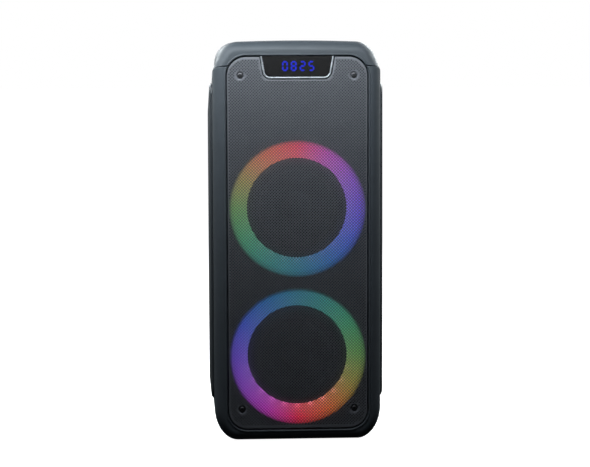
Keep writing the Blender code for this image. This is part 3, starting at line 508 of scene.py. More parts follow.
def lip_cutter(name, outline_at, face, inwards, depth, along="y", radius=EDGE_R, steps=4):
    """Cuts a recess whose mouth is rounded. outline_at(grow) gives its outline moved outwards."""
    place = ALONG[along]
    rows = [(radius, -OVER), *[(radius * a, radius * b) for a, b in quarter(steps)], (0, depth)]
    return loft(name, [[place(a, b, face + inwards * t) for a, b in outline_at(grow)] for grow, t in rows])


# ---- The shell ----
def seam_at(y):
    return SEAM_FRONT + GAP / 2 - SEAM_SLOPE * (y - FRONT)


def body_outline(inset, kink_z):
    """The body's outline from the front, moved inwards by inset, with flanks that taper above kink_z."""
    side = HALF_WIDTH - inset
    low_centre = (HALF_WIDTH - BOTTOM_CORNER_X, BASE + BOTTOM_CORNER_Z)
    half = arc(*low_centre, BOTTOM_CORNER_X - inset, BOTTOM_CORNER_Z - inset, -pi / 2, 0, 24)
    half.append((side, kink_z))
    corner = (TOP_CORNER_X, TOP - CROWN - TOP_CORNER_R)
    radius = TOP_CORNER_R - inset
    dx, dz = side - corner[0], kink_z - corner[1]
    touch = atan2(dz, dx) + acos(radius / hypot(dx, dz))
    half += arc(*corner, radius, radius, touch, pi / 2, 20)
    crown_steps = 6
    for k in range(1, crown_steps):
        share = k / crown_steps
        half.append((TOP_CORNER_X * (1 - share), TOP - inset - CROWN * (1 - share) ** 2))
    return half + [(0, TOP - inset)] + [(-x, z) for x, z in reversed(half)]


def between(start, end):
    """Depths spaced evenly between two others, because the tapering flanks are twisted."""
    return [start + (end - start) * k / FLANK_SPANS for k in range(1, FLANK_SPANS)]


def body_rows(steps=9):
    """Depths along the body, each with how far its outline is drawn in, front rounding first."""
    front = [(FRONT + FRONT_ROUND_DEPTH * b, FRONT_ROUND_INSET * a) for a, b in quarter(steps)]
    rear = [(REAR - REAR_ROUND * a, REAR_ROUND * b) for a, b in quarter(steps)]
    return front + [(y, 0.0) for y in between(front[-1][0], rear[0][0])] + rear


def shell_rings(extra=0.0, start=FRONT, end=REAR, steps=9):
    """Loops of the body along its depth. With extra, the hollow that much inside it, between two depths."""
    rows = body_rows(steps)
    if extra:
        rear = [(y - REAR + end, inset * 0.7) for y, inset in rows[-steps - 1:]]
        rows = [(start, 0.0)] + [(y, 0.0) for y in between(start, rear[0][0])] + rear
    return [[(x, y, z) for x, z in body_outline(inset + extra, seam_at(y) - SEAM_KINK)] for y, inset in rows]


def seam_block(name, start, end, above):
    """All that lies between two depths and above, or below, the sloping join."""
    sign = 1 if above else -1
    first, last = (seam_at(y) + sign * GAP for y in (start, end))
    far = TOP + FAR if above else BASE - FAR
    outline = [(start, first), (end, last), (end, far), (start, far)]
    return prism(name, outline, -HALF_WIDTH * 1.5, HALF_WIDTH * 1.5, "x")


def recess_outline(grow):
    out = RECESS_GAP + EDGE_BACK + grow
    return rounded_box(GRILLE_HALF + out, GRILLE_LOW - out, GRILLE_HIGH + out, GRILLE_R + out, 14)


def recess_cutter():
    return lip_cutter("recess", recess_outline, FRONT, 1, BOARD_FACE - FRONT, radius=RECESS_LIP, steps=2)


def recess_bead():
    """Narrow bead that stands proud round the grille's recess."""
    section = arc(BEAD_OUT, FRONT + 0.0001, BEAD_R, BEAD_R * 0.9, 0, TURN, 12)[:-1]
    return closed_tube("bead", [[(x, y, z) for x, z in recess_outline(grow)] for grow, y in section])


def seam_groove():
    """Fine V groove round the body along the sloping join, so that both shells have a softened edge."""
    half = [(HALF_WIDTH - inset, y) for y, inset in body_rows()]
    loop = [Vector(p) for p in half + [(-x, y) for x, y in reversed(half)]]
    ways = []
    for before, p, after in zip(loop[-1:] + loop, loop, loop[1:] + loop[:1]):
        along = (after - p).normalized() + (p - before).normalized()
        ways.append(Vector((along.y, -along.x)).normalized())
    rows = []
    for grow, rise in ((GROOVE_DEPTH, 2 * GROOVE_HALF), (-GROOVE_DEPTH, 0), (GROOVE_DEPTH, -2 * GROOVE_HALF)):
        moved = [p + way * grow for p, way in zip(loop, ways)]
        rows.append([(p.x, p.y, seam_at(p.y) + rise) for p in moved])
    return closed_tube("groove", rows)


def arch_outline():
    """A narrow arched rib above the upper driver."""
    start, end = pi / 2 - ARCH_SWEEP / 2, pi / 2 + ARCH_SWEEP / 2
    low, high = ARCH_R - ARCH_HALF_WIDTH, ARCH_R + ARCH_HALF_WIDTH
    inner = arc(0, DRIVERS["upper"], low, low, start, end, 40)
    return inner + arc(0, DRIVERS["upper"], high, high, end, start, 40)


def make_front_shell():
    obj = loft("shell_front", shell_rings(), "shell")
    hollow = body_outline(WALL, SEAM_FRONT - 0.012)
    steps = [
        plus(recess_bead()),
        less(seam_groove()),
        within(seam_block("front_block", FRONT - FAR, BAFFLE_BACK, False)),
        less(recess_cutter()),
        less(prism("front_hollow", hollow, BOARD_FACE + BOARD_THICK, BAFFLE_BACK + OVER)),
        plus(prism("front_arch", arch_outline(), BOARD_FACE - 0.004, BOARD_FACE + 0.002)),
    ]
    cup_back = WELL_FLOOR + CUP_WALL
    rods = [
        (plus, "cup", WELL_R + CUP_WALL, BOARD_FACE + 0.001, cup_back),
        (less, "well", WELL_R, FRONT - OVER, WELL_FLOOR),
        (less, "hole", DRIVER_HOLE_R, FRONT, cup_back + OVER),
    ]
    for step, name, radius, start, end in rods:
        for z in DRIVERS.values():
            steps.append(step(rod(name, radius, start, end, (0, 0, z), steps=128)))
    for place in GRILLE_SCREWS:
        steps.append(less(rod("pilot", PILOT_R, FRONT, BOARD_FACE + FAR, (place.x, 0, place.z), steps=16)))
    carve(obj, *steps)
    finish_piece(even_shading(obj), replaces=["front_baffle"])


def plate_outline(grow):
    out = GAP + grow
    return rounded_box(PLATE_HIGH.x + out, PLATE_LOW.z - out, PLATE_HIGH.z + out, PLATE_R + grow, 6)


def make_rear_shell():
    obj = loft("shell_rear", shell_rings(), "shell")
    carve(
        obj,
        less(seam_groove()),
        within(seam_block("rear_block", BAFFLE_BACK + GAP, REAR + FAR, False)),
        less(loft("rear_hollow", shell_rings(CABINET_WALL, FRONT + FAR, REAR - REAR_WALL))),
        less(rod("port_hole", PORT_HOLE_R, REAR - 0.03, REAR + OVER, (0, 0, PORT_Z), steps=96)),
        less(lip_cutter("plate_recess", plate_outline, REAR, -1, PLATE_RECESS)),
        less(prism("plate_opening", plate_outline(-PLATE_LEDGE), REAR - 0.03, REAR)),
    )
    finish_piece(even_shading(obj), replaces=["cabinet"])


def tray_outline(grow):
    out = GAP + grow
    return rounded_box(PANEL_HIGH.x + out, PANEL_LOW.y - out, PANEL_HIGH.y + out, TRAY_R + grow)


def pocket_outline(grow):
    """The handle's pocket from above; it is open to the back."""
    corners = rectangle(POCKET_HALF + grow, POCKET_FRONT - grow, REAR + FAR)
    return rounded(corners, [POCKET_R + grow, POCKET_R + grow, 0, 0], 6)


def make_top_shell():
    obj = loft("shell_top", shell_rings(), "shell")
    tray_floor = TOP - TRAY_DEPTH
    tray_top, pocket_top = TOP - CROWN * 0.3, TOP - CROWN * 0.6
    low = (-POCKET_HALF - WALL, POCKET_FRONT - WALL, POCKET_LOW - WALL)
    block = box("pocket_block", low, (POCKET_HALF + WALL, REAR, TOP))
    carve(block, within(loft("pocket_limit", shell_rings(WALL / 2, PANEL_HIGH.y, REAR - WALL / 2))))
    carve(
        obj,
        plus(recess_bead()),
        less(seam_groove()),
        within(seam_block("top_block", FRONT - FAR, REAR + FAR, True)),
        less(loft("top_hollow", shell_rings(WALL, BOARD_FACE + BOARD_THICK, REAR - WALL))),
        less(recess_cutter()),
        plus(prism("tray_block", tray_outline(TRAY_WALL), tray_floor - TRAY_WALL, TOP - WALL / 2, "z")),
        less(lip_cutter("tray", tray_outline, tray_top, -1, TRAY_DEPTH - CROWN * 0.3, "z", TRAY_LIP)),
        less(prism("tray_opening", tray_outline(-TRAY_LEDGE), tray_floor - OVER, tray_floor + 0.001, "z")),
        plus(block),
        less(lip_cutter("pocket", pocket_outline, pocket_top, -1, pocket_top - POCKET_LOW, "z", POCKET_LIP)),
    )
    finish_piece(even_shading(obj), replaces=["top_cover"])


def side_outline(low, high, inset):
    """The side panel from the side, in (y, z): its top edge runs along the sloping join."""
    front, back, foot, top = low.y + inset, high.y - inset, low.z + inset, high.z - inset
    corners = [(front, foot), (back, foot), (back, top - SEAM_SLOPE * (back - front)), (front, top)]
    return rounded(corners, [SIDE_R - inset] * 4)


def make_side_cheeks():
    """Raised mouldings on the flanks: a broad chamfer rounded into a slightly hollowed face."""
    for name, side in (("left", -1), ("right", 1)):
        low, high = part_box(f"side_panel_{name}")
        inner, outer = (low.x, high.x) if side > 0 else (high.x, low.x)
        rows = [(inner, 0)]
        rows += [(outer - side * SIDE_CHAMFER * a, SIDE_CHAMFER * 1.4 * b) for a, b in quarter(6)]
        rows += [(outer, 0.0090), (outer - side * SIDE_DISH, 0.0115), (outer - side * SIDE_DISH, 0.0150)]
        rings = [[(x, y, z) for y, z in side_outline(low, high, inset)] for x, inset in rows]
        obj = loft(f"side_cheek_{name}", rings, "side", 60)
        finish_piece(even_shading(obj), replaces=[f"side_panel_{name}"])


# ---- Grille ----
def tab_path(grow, top):
    """The display tab's edge from its top left, down, round and up to its top right, moved out by grow."""
    low = TAB_LOW - grow
    half_low, half_top = (TAB_LOW_HALF + grow + (z - TAB_LOW) * TAB_LEAN for z in (low, top))
    corners = [(-half_top, top), (-half_low, low), (half_low, low), (half_top, top)]
    return rounded(corners, [0, TAB_R + grow, TAB_R + grow, 0], 10)


def grille_outline(inset):
    """The sheet's edge with the notch for the display, moved inwards by inset, anticlockwise."""
    inset += EDGE_BACK
    low, high, half = GRILLE_LOW + inset, GRILLE_HIGH - inset, GRILLE_HALF - inset
    edge = rounded_box(half, low, high, GRILLE_R - inset, 14)
    corner = len(edge) // 4
    notch = tab_path(RECESS_GAP + inset, high)
    return edge[: 3 * corner] + notch[::-1] + edge[3 * corner:]


def grille_field():
    """The edge of the perforated field, moved in from the sheet's edge and from the display's notch."""
    side, end = PLAIN_SIDE + HOLE_HALF, PLAIN_END + HOLE_HALF
    low, high, half = GRILLE_LOW + end, GRILLE_HIGH - end, GRILLE_HALF - side
    field = rounded_box(half, low, high, GRILLE_R - side, 10)
    notch = tab_path(RECESS_GAP + PLAIN_ROUND_TAB + HOLE_HALF, high + 0.001)
    corner = len(field) // 4
    return field[: 3 * corner] + notch[::-1] + field[3 * corner:]


def inside(point, polygon):
    """True for a point inside a closed polygon."""
    x, z = point
    odd = False
    for (ax, az), (bx, bz) in ring_of(polygon):
        if (az > z) != (bz > z) and x < (bx - ax) * (z - az) / (bz - az) + ax:
            odd = not odd
    return odd


def near_screw(x, z, reach):
    return any(hypot(x - screw.x, z - screw.z) < reach for screw in GRILLE_SCREWS)


def to_lattice(x, z):
    z -= GRILLE_LOW
    return (x + z) / sqrt(2) / HOLE_PITCH, (z - x) / sqrt(2) / HOLE_PITCH


def from_lattice(u, v):
    return (u - v) * HOLE_PITCH / sqrt(2), (u + v) * HOLE_PITCH / sqrt(2) + GRILLE_LOW


def kept_holes():
    """Lattice cells whose hole lies well inside the perforated field."""
    field = grille_field()
    reach = ceil(hypot(GRILLE_HALF * 2, GRILLE_HIGH - GRILLE_LOW) / HOLE_PITCH) + 1
    kept = set()
    for i in range(-reach, reach):
        for j in range(-reach, reach):
            x, z = from_lattice(i, j)
            if abs(x) > GRILLE_HALF or not GRILLE_LOW < z < GRILLE_HIGH:
                continue
            if not near_screw(x, z, PLAIN_ROUND_SCREW) and inside((x, z), field):
                kept.add((i, j))
    return kept


def in_lattice(x, z, kept):
    """True where the regular part of the sheet, or one of its holes, already is."""
    u, v = to_lattice(x, z)
    i, j = floor(u + HALF_CELL), floor(v + HALF_CELL)
    across = (i,) if u - i <= HALF_CELL else (i, i + 1)
    up = (j,) if v - j <= HALF_CELL else (j, j + 1)
    return all((a, b) in kept for a in across for b in up)


def point_key(point):
    """A point rounded to a tenth of a micrometre, so that corners that two shapes share are found again."""
    return tuple(round(c * 1e7) for c in point)


class Sheet:
    """Builds both faces of the perforated sheet from points in its plane."""

    def __init__(self):
        self.bm = bmesh.new()
        self.verts = {}
        self.border = {}

    def pair(self, point):
        """The vertices of the front and of the back face at a point."""
        key = point_key(point)
        if key not in self.verts:
            x, z = point
            depths = (GRILLE_FACE, GRILLE_FACE + GRILLE_THICK)
            self.verts[key] = [self.bm.verts.new((x, y, z)) for y in depths]
        return self.verts[key]

    def face(self, points):
        pairs = [self.pair(p) for p in points]
        self.bm.faces.new([front for front, _ in pairs])
        self.bm.faces.new([back for _, back in reversed(pairs)])

    def hole(self, points):
        """Joins the two faces round a hole's edge."""
        for (f0, b0), (f1, b1) in ring_of([self.pair(p) for p in points]):
            self.bm.faces.new((f0, b0, b1, f1))

    def note(self, points):
        """Keeps the edges that only one shape has had so far."""
        for a, b in ring_of(points):
            key = tuple(sorted((point_key(a), point_key(b))))
            self.border[key] = None if key in self.border else (a, b)

    def funnel(self, outline_at, rows):
        """Joins the edge of the front face to that of the back by way of (size, depth) rows of loops."""
        mouth = [self.pair(p) for p in outline_at(rows[0][0])]
        loops = [[front for front, _ in mouth]]
        for size, depth in rows[1:]:
            loops.append([self.bm.verts.new((x, GRILLE_FACE + depth, z)) for x, z in outline_at(size)])
        skin(self.bm, loops + [[back for _, back in mouth]])


def cell_points(i, j, ends):
    """Corners of a lattice rectangle given by its ends in u and v."""
    (u0, u1), (v0, v1) = ends
    return [from_lattice(i + u, j + v) for u, v in ((u0, v0), (u1, v0), (u1, v1), (u0, v1))]


def make_grille():
    sheet = Sheet()
    kept = kept_holes()
    hole, strip = (-HALF_CELL, HALF_CELL), (HALF_CELL, 1 - HALF_CELL)
    for i, j in sorted(kept):
        points = cell_points(i, j, (hole, hole))
        sheet.hole(points)
        sheet.note(points)
        right, above, corner = (i + 1, j), (i, j + 1), (i + 1, j + 1)
        for ends, needed in (((strip, hole), {right}), ((hole, strip), {above}),
                             ((strip, strip), {right, above, corner})):
            if needed <= kept:
                points = cell_points(i, j, ends)
                sheet.face(points)
                sheet.note(points)
    fill_border(sheet, kept)
    add_grille_rim(sheet)
    finish_piece(as_object(sheet.bm, "grille_sheet", "mesh"), replaces=["grille"])


def dimple_circle(place, radius, steps=24):
    return arc(place.x, place.z, radius, radius, 0, TURN * (1 - 1 / steps), steps - 1)


def fill_border(sheet, kept):
    """Triangulates the plain margin between the perforation, the sheet's edge and the screws' dimples."""
    outline = grille_outline(FOLD_R)
    circles = [dimple_circle(place, DIMPLE_R + EDGE_R) for place in GRILLE_SCREWS]
    links = [edge for edge in sheet.border.values() if edge]
    for loop in (outline, *circles):
        links += ring_of(loop)
    index, points, numbers = {}, [], []
    for point in (p for link in links for p in link):
        key = point_key(point)
        if key not in index:
            index[key] = len(points)
            points.append(Vector(point))
        numbers.append(index[key])
    verts, _, faces, *_ = delaunay_2d_cdt(points, list(zip(numbers[::2], numbers[1::2])), [], 0, 1e-8)
    for face in faces:
        corners = [tuple(verts[k]) for k in face]
        x, z = (sum(c[k] for c in corners) / len(corners) for k in (0, 1))
        if near_screw(x, z, DIMPLE_R + EDGE_R * 0.9) or in_lattice(x, z, kept):
            continue
        if inside((x, z), outline):
            sheet.face(corners)


def add_grille_rim(sheet):
    """Folds the sheet's edge back, and sinks a dimple for each screw."""
    rows = [(FOLD_R * a, FOLD_R * b) for a, b in quarter(4)]
    rows += [(0, GRILLE_RIM), (FOLD_R * 0.9, GRILLE_RIM), (FOLD_R * 0.9, GRILLE_THICK * 1.3)]
    sheet.funnel(grille_outline, rows)
    behind = DIMPLE_DEPTH + DIMPLE_WALL
    rows = [(DIMPLE_R + EDGE_R, 0), (DIMPLE_R + 0.0004, 0.0002), (DIMPLE_R, 0.0008),
            (DIMPLE_R - 0.0002, 0.0019), (DIMPLE_R - 0.0008, DIMPLE_DEPTH), (PILOT_R, DIMPLE_DEPTH),
            (PILOT_R, behind), (DIMPLE_R, behind), (DIMPLE_R + DIMPLE_WALL, DIMPLE_DEPTH),
            (DIMPLE_R + EDGE_R, GRILLE_THICK + 0.0004)]
    for place in GRILLE_SCREWS:
        sheet.funnel(lambda radius, place=place: dimple_circle(place, radius), rows)


# ---- Display ----
def make_display():
    """Rim swept along the tab's edge, the smoked window, and four seven-segment numerals behind it."""
    bm = bmesh.new()
    depth, round_r = 0.0085, 0.0009
    edge = [(round_r * a, round_r * b) for a, b in quarter(2)]
    section = [(0, depth), *[(-b, a) for a, b in edge], *[(b - TAB_RIM, a) for a, b in reversed(edge)],
               (-TAB_RIM, depth)]
    rows = [[bm.verts.new((x, FRONT + t, z)) for x, z in tab_path(grow, TAB_TOP)] for grow, t in section]
    for first, second in ring_of(rows):
        for k in range(len(first) - 1):
            bm.faces.new((first[k], first[k + 1], second[k + 1], second[k]))
    bm.faces.new([row[0] for row in rows])
    bm.faces.new([row[-1] for row in reversed(rows)])
    # The rim is painted pale grey as a painted highlight: the real rim is the dark plastic of the bezel, lit
    # along its edge.
    finish_piece(as_object(bm, "display_rim", "trim", 50), replaces=["display_bezel"])
    low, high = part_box("display_window")
    window = prism("display_glass", tab_path(-TAB_RIM - GAP, high.z), low.y, high.y, paint="smoke")
    finish_piece(bevelled(window, 0.0003), replaces=["display_window"])
    for n, numeral in enumerate(DIGITS):
        apart = DIGIT_MIDDLE if n > 1 else -DIGIT_MIDDLE
        make_digit(f"display_digit_{n + 1}", DIGIT_CENTRE_X + DIGIT_PITCH * (n - 1.5) + apart, numeral, low.y)


def make_digit(name, x, numeral, window_face):
    """One numeral of six-sided bars on a seven-segment frame."""
    hx, hz = DIGIT_HALF_X, DIGIT_HALF_Z
    bars = [((-hx, hz), (hx, hz)), ((-hx, 0), (-hx, hz)), ((hx, 0), (hx, hz)), ((-hx, 0), (hx, 0)),
            ((-hx, -hz), (-hx, 0)), ((hx, -hz), (hx, 0)), ((-hx, -hz), (hx, -hz))]
    bm = bmesh.new()
    for (start, end), lit in zip(bars, SEVEN_SEGMENT[numeral]):
        if lit == "0":
            continue
        a, b = Vector(start), Vector(end)
        along = (b - a).normalized()
        across = Vector((-along.y, along.x)) * SEGMENT / 2
        a, b = a + along * SEGMENT_GAP, b - along * SEGMENT_GAP
        inner_a, inner_b = a + along * SEGMENT / 2, b - along * SEGMENT / 2
        outline = [a, inner_a - across, inner_b - across, b, inner_b + across, inner_a + across]
        depths = (window_face + 0.00015, window_face - 0.00015)
        skin(bm, [[bm.verts.new((x + p.x, y, DIGIT_CENTRE_Z + p.y)) for p in outline] for y in depths], True)
    finish_piece(as_object(bm, name, "digits"))


# ---- Light rings and drivers ----
def make_light_ring(name, z):
    """Milky funnel between the grille and the driver, rolled over at its rims."""
    outer = [(0.0955, 0.0036), (0.0967, 0.0030), (RING_OUTER_R, 0.0036), (RING_OUTER_R, 0.0110)]
    outer += arc(0.0778, 0.0055, 0.0200, 0.0200, radians(20), radians(88), 9)
    outer += [(RING_INNER_R, 0.0255), (RING_INNER_R, 0.0238)]
    inner = arc(0.0768, 0.0055, 0.0187, 0.0180, radians(86), 0, 14)
    obj = turned(f"ring_diffuser_{name}", outer + inner, (0, FRONT, z), f"glow_{name}", steps=160, sharp=70)
    finish_piece(obj, replaces=[f"led_diffuser_{name}"])


def make_driver(name, z):
    """Curved paper cone with its coil's tube, a domed dust cap, and the surround."""
    centre, body = (0, FRONT, z), f"{name}_driver_moving"
    cone_r, cone_face, cone_deep, wall = 0.0522, 0.0276, 0.0224, 0.0014
    tube_r, tube_in, tube_back = 0.0134, 0.0124, 0.0840
    cone = arc(tube_r, cone_face, cone_r - tube_r, cone_deep, 0.02, pi / 2, 12)[1:]
    under = [(r, t - wall) for r, t in reversed(cone[:-2])]
    rim = [(cone_r, cone_face - wall), (cone_r, cone_face)]
    tube = [(tube_r, tube_back), (tube_in, tube_back), (tube_in, 0.0480)]
    obj = turned(f"cone_{name}", rim + cone + tube + under, centre, "paper")
    finish_piece(obj, body, [f"woofer_cone_{name}"])
    dome = arc(0, 0.0433, 0.0212, -0.0105, pi / 2, 0, 12)
    low = arc(0, 0.0433, 0.0204, -0.0097, 0, pi / 2, 12)
    cap = [(0, dome[0][1]), *dome[1:], *low[:-1], (0, low[-1][1])]
    obj = turned(f"dust_cap_{name}", cap, centre, "paper", steps=72)
    finish_piece(obj, body, [f"woofer_dust_cap_{name}"])
    make_surround(name, centre)


def make_surround(name, centre):
    """Rubber half-roll in two halves that meet at its crest. The inner one is left in place, on no body."""
    roll_r, roll_depth, mid_r, thick, base = 0.0080, 0.0065, 0.0620, 0.0008, 0.0252
    rim, neck = RING_INNER_R - 0.0006, 0.0500
    top = arc(mid_r, base - thick, roll_r, -roll_depth, 0, pi, 24)
    under = arc(mid_r, base, roll_r - thick, -roll_depth, 0, pi, 24)
    half = len(top) // 2
    outer = [(rim, base - thick), *top[: half + 1], *reversed(under[: half + 1]), (rim, base)]
    inner = [*top[half:], (neck, base - thick), (neck, base), *reversed(under[half:])]
    obj = turned(f"surround_outer_{name}", outer, centre, "rubber")
    finish_piece(obj, replaces=[f"woofer_surround_{name}"])
    obj = turned(f"surround_inner_{name}", inner, centre, "rubber")
    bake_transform(obj)
    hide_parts(f"woofer_surround_{name}")


# ---- Screws ----
def make_screws():
    """Pan heads with a rounded crown and a hexagon socket, on plain shanks."""
    crown = arc(0, SCREW_HEAD * 0.75, SCREW_HEAD_R, -SCREW_HEAD * 0.75, pi / 2, 0, 7)
    head = [(0, crown[0][1]), *crown[1:], (SCREW_HEAD_R, SCREW_HEAD), (SCREW_SHANK_R, SCREW_HEAD)]
    for group, inwards in (("grille_screw", 1), ("panel_screw", -1)):
        for n in range(1, 5):
            node = f"{group}_{n}"
            low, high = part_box(node)
            top, end = (low.y, high.y) if inwards > 0 else (high.y, low.y)
            place = (middle(node).x, top, middle(node).z)
            profile = head + [(SCREW_SHANK_R, abs(end - top)), (0, abs(end - top))]
            screw = turned(f"fine_{node}", [(r, inwards * t) for r, t in profile], place, "screw", steps=36)
            socket = rod("socket", SCREW_SOCKET_R, -0.001, 0.0014, place, steps=6)
            if inwards < 0:
                socket.rotation_euler = (0, 0, pi)
            carve(screw, less(socket))
            finish_piece(screw, replaces=[node])


# ---- Printed marks ----
def stroke(points, width=0.0007, closed=False):
    """A flat ribbon of even width along a line, as quads."""
    points = [Vector(p) for p in points]
    ways = [(after - p).normalized() for p, after in ring_of(points)]
    sides = []
    for k, p in enumerate(points):
        meeting = [ways[k - 1]] * (closed or k > 0) + [ways[k]] * (closed or k < len(points) - 1)
        along = sum(meeting, Vector((0, 0))).normalized()
        across = Vector((-along.y, along.x)) * width / 2 / max(0.5, along.dot(meeting[0]))
        sides.append((p + across, p - across))
    pairs = ring_of(sides) if closed else ring_of(sides)[:-1]
    return [(a[0], a[1], b[1], b[0]) for a, b in pairs]


def triangle(x, half, direction):
    """A filled triangle that points along +X or -X."""
    back, tip = x - direction * half, x + direction * half
    return [(back, -half), (back, half), (tip, 0)]


def circle(radius, start=0.0, sweep=TURN):
    return arc(0, 0, radius, radius, start, start + sweep, 28)


def bar(x, half_x=0.0004, half_y=0.0018):
    return rectangle(half_x, -half_y, half_y, x)


def ray(angle, start, end):
    """A short mark along a radius."""
    return stroke([(r * cos(angle), r * sin(angle)) for r in (start, end)], 0.0005)


def scale_angles(marks):
    """Angles of a knob's scale, clockwise over 300 degrees."""
    return [radians(240 - 300 * n / (marks - 1)) for n in range(marks)]


def sun_icon():
    faces = stroke(circle(0.0011)[:-1], 0.0005, True)
    for n in range(8):
        faces += ray(TURN * n / 8, 0.0018, 0.0027)
    return faces


ICONS = {
    "power": stroke(circle(0.0022, radians(125), radians(290))) + stroke([(0, 0.0006), (0, 0.0030)]),
    "source": stroke([(-0.0005, 0.0021), (0.0028, 0.0021), (0.0028, -0.0021), (-0.0005, -0.0021)])
    + stroke([(-0.0032, 0), (0.0004, 0)]) + [triangle(0.0008, 0.0010, 1)],
    "light": sun_icon(),
    "previous": [bar(-0.0022), triangle(0.0002, 0.0018, -1)],
    "play": [triangle(-0.0014, 0.0018, 1), bar(0.0016), bar(0.0029)],
    "next": [bar(0.0022), triangle(-0.0002, 0.0018, 1)],
}


def shifted(faces, x, y):
    return [[(p[0] + x, p[1] + y) for p in face] for face in faces]


def raised_print(name, faces, place):
    """Each flat face of a drawing becomes a thin closed plate, where place(a, b, h) puts it."""
    bm = bmesh.new()
    for face in faces:
        loops = [[bm.verts.new(place(p[0], p[1], h)) for p in face] for h in (-PRINT_SUNK, PRINT_THICK)]
        skin(bm, loops, True)
    return as_object(bm, name, "print", None)


# ---- Controls on the top ----
def pill(half_x, half_y):
    """A bar with fully round ends, in plan."""
    return rounded_box(half_x, -half_y, half_y, min(half_x, half_y) - 1e-6, 10)


def make_button(name):
    """Cap with a rounded, slightly dished top, over the flange and stem that the frame gives it."""
    body = f"button_{name}"
    low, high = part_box(body)
    x, y, _ = middle(body)
    flange, edge, under = 0.0015, 0.0007, PANEL_LOW.z
    half_x, half_y = (high.x - low.x) / 2 - flange, (high.y - low.y) / 2 - flange
    rows = [(flange, under - 0.0018), (flange, under - GAP), (0, under - GAP)]
    rows += [(-edge * b, high.z - edge * a) for a, b in quarter(4)]
    rows += [(-0.0016, high.z - 0.0001), (-0.0030, high.z - 0.0003)]
    rings = [[(x + a, y + b, z) for a, b in pill(half_x + grow, half_y + grow)] for grow, z in rows]
    cap = loft(f"cap_{name}", rings, "control", 50)
    finish_control(cap, body, plus(rod("stem", STEM_R, low.z, under - 0.001, (x, y, 0), "z", 24)))
    face = high.z - 0.0003
    icon = raised_print(f"icon_{name}", ICONS[name], lambda a, b, h: (x + a, y + b, face + h))
    finish_piece(icon, body)


def finish_control(obj, node, *steps):
    """Carves a knob or a cap and puts it on the body of its node."""
    carve(obj, *steps)
    finish_piece(even_shading(obj), node, [node])


def fluted(radius, flutes, depth):
    """A circle with rounded flutes of that depth cut into it."""
    steps = flutes * 4
    reach = [radius - depth * (0.5 + 0.5 * cos(TURN * k / 4)) for k in range(steps)]
    return [(r * cos(TURN * k / steps), r * sin(TURN * k / steps)) for k, r in enumerate(reach)]


def make_volume_knob():
    """Fluted rim, a satin trim band and a dished top with a finger dimple."""
    low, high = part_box("volume_knob")
    x, y, top = *middle("volume_knob").xy, high.z
    radius, skirt = (high.x - low.x) / 2, PANEL_LEVEL + 0.0008
    neck, shoulder = radius - 0.0004, radius - 0.0008
    rows = [(radius - 0.0022, skirt, 0), (neck, skirt, 0), (radius, skirt + 0.0005, 0),
            (radius, skirt + 0.0018, 0), (neck, skirt + 0.0022, FLUTE_DEPTH),
            (neck, top - 0.0026, FLUTE_DEPTH)]
    rows += [(shoulder - 0.0016 * b, top - 0.0020 * a, 0) for a, b in quarter(5)]
    rows += [(radius - 0.0040, top - 0.0001, 0), (radius - 0.0055, top - 0.0008, 0),
             (radius - 0.0100, top - 0.0011, 0), (0.0030, top - 0.0012, 0)]
    rings = [[(x + a, y + b, z) for a, b in fluted(r, 60, depth)] for r, z, depth in rows]
    knob = loft("knob_cap", rings, "control", 50)
    dimple = rod("dimple", 0.0030, top - 0.0022, top + 0.002, (x + radius / 2, y, 0), "z", 32)
    shaft = rod("shaft", SHAFT_R, low.z, skirt + 0.001, (x, y, 0), "z", 32)
    finish_control(knob, "volume_knob", less(dimple), plus(shaft))
    trim = [(radius - 0.0052, top - 0.0010), (radius - 0.0046, top - 0.0001), (radius - 0.0036, top),
            (radius - 0.0034, top - 0.0004), (radius - 0.0046, top - 0.0012)]
    finish_piece(turned("knob_trim", trim, (x, y, 0), "trim", "z"), "volume_knob")


def make_panel_print():
    """Printed legend on the control panel: a scale round the knob and a thin frame line."""
    centre = middle("control_panel")
    faces = []
    for n, angle in enumerate(scale_angles(25)):
        faces += ray(angle, 0.0245, 0.0272 if n % 6 == 0 else 0.0262)
    faces += stroke(rounded_box(0.0815, -0.0440, 0.0440, 0.0100, 10), 0.0004, True)
    legend = raised_print("panel_print", faces, lambda a, b, h: (a, centre.y + b, PANEL_LEVEL + h))
    finish_piece(legend)


def make_handle():
    """Grip bar with moulded rings along its middle, and a collar at each end."""
    low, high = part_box("carry_handle")
    end, end_r, grip_r = (high.x - low.x) / 2, (high.z - low.z) / 2, 0.0110
    edge, collar, neck, grooves, cut = 0.0008, 0.0060, 6, 14, 0.0005
    half = [(end_r - edge, end), (end_r, end - edge), (end_r, end - collar)]
    for k in range(1, neck + 1):
        share = k / neck
        half.append((end_r + (grip_r - end_r) * (3 * share**2 - 2 * share**3), end - collar - collar * share))
    start = end - 0.016
    for k in range(grooves):
        t = start - k * start / grooves
        half += [(grip_r, t), (grip_r - cut, t - 0.0009), (grip_r - cut, t - 0.0019), (grip_r, t - 0.0028)]
    half = [(r, t) for r, t in half if t > 0.0002]
    profile = [(0, -end), *[(r, -t) for r, t in half], *reversed(half), (0, end)]
    obj = turned("handle_grip", profile, (low + high) / 2, "rubber", "x", 64)
    finish_piece(obj, replaces=["carry_handle"])


# ---- Back of the cabinet ----
def make_port():
    """Bass port: flared at its mouth, with a rolled flange."""
    low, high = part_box("bass_port")
    lip, deep = high.y, low.y
    radius, flare, outside, flange_r, roll = 0.026, 0.0100, 0.0285, (high.x - low.x) / 2, 0.0016
    mouth = arc(radius + flare, lip - flare, flare, flare, pi, pi / 2, 12)
    rim = arc(flange_r - roll, lip - roll, roll, roll, pi / 2, 0, 5)
    profile = [(radius, deep), *mouth, *rim, (flange_r, REAR + GAP), (PORT_HOLE_R - 0.0008, REAR + GAP),
               (outside, REAR - 0.0150), (outside, deep)]
    obj = turned("port_tube", profile, (0, 0, PORT_Z), "shell", steps=128)
    finish_piece(obj, replaces=["bass_port"])


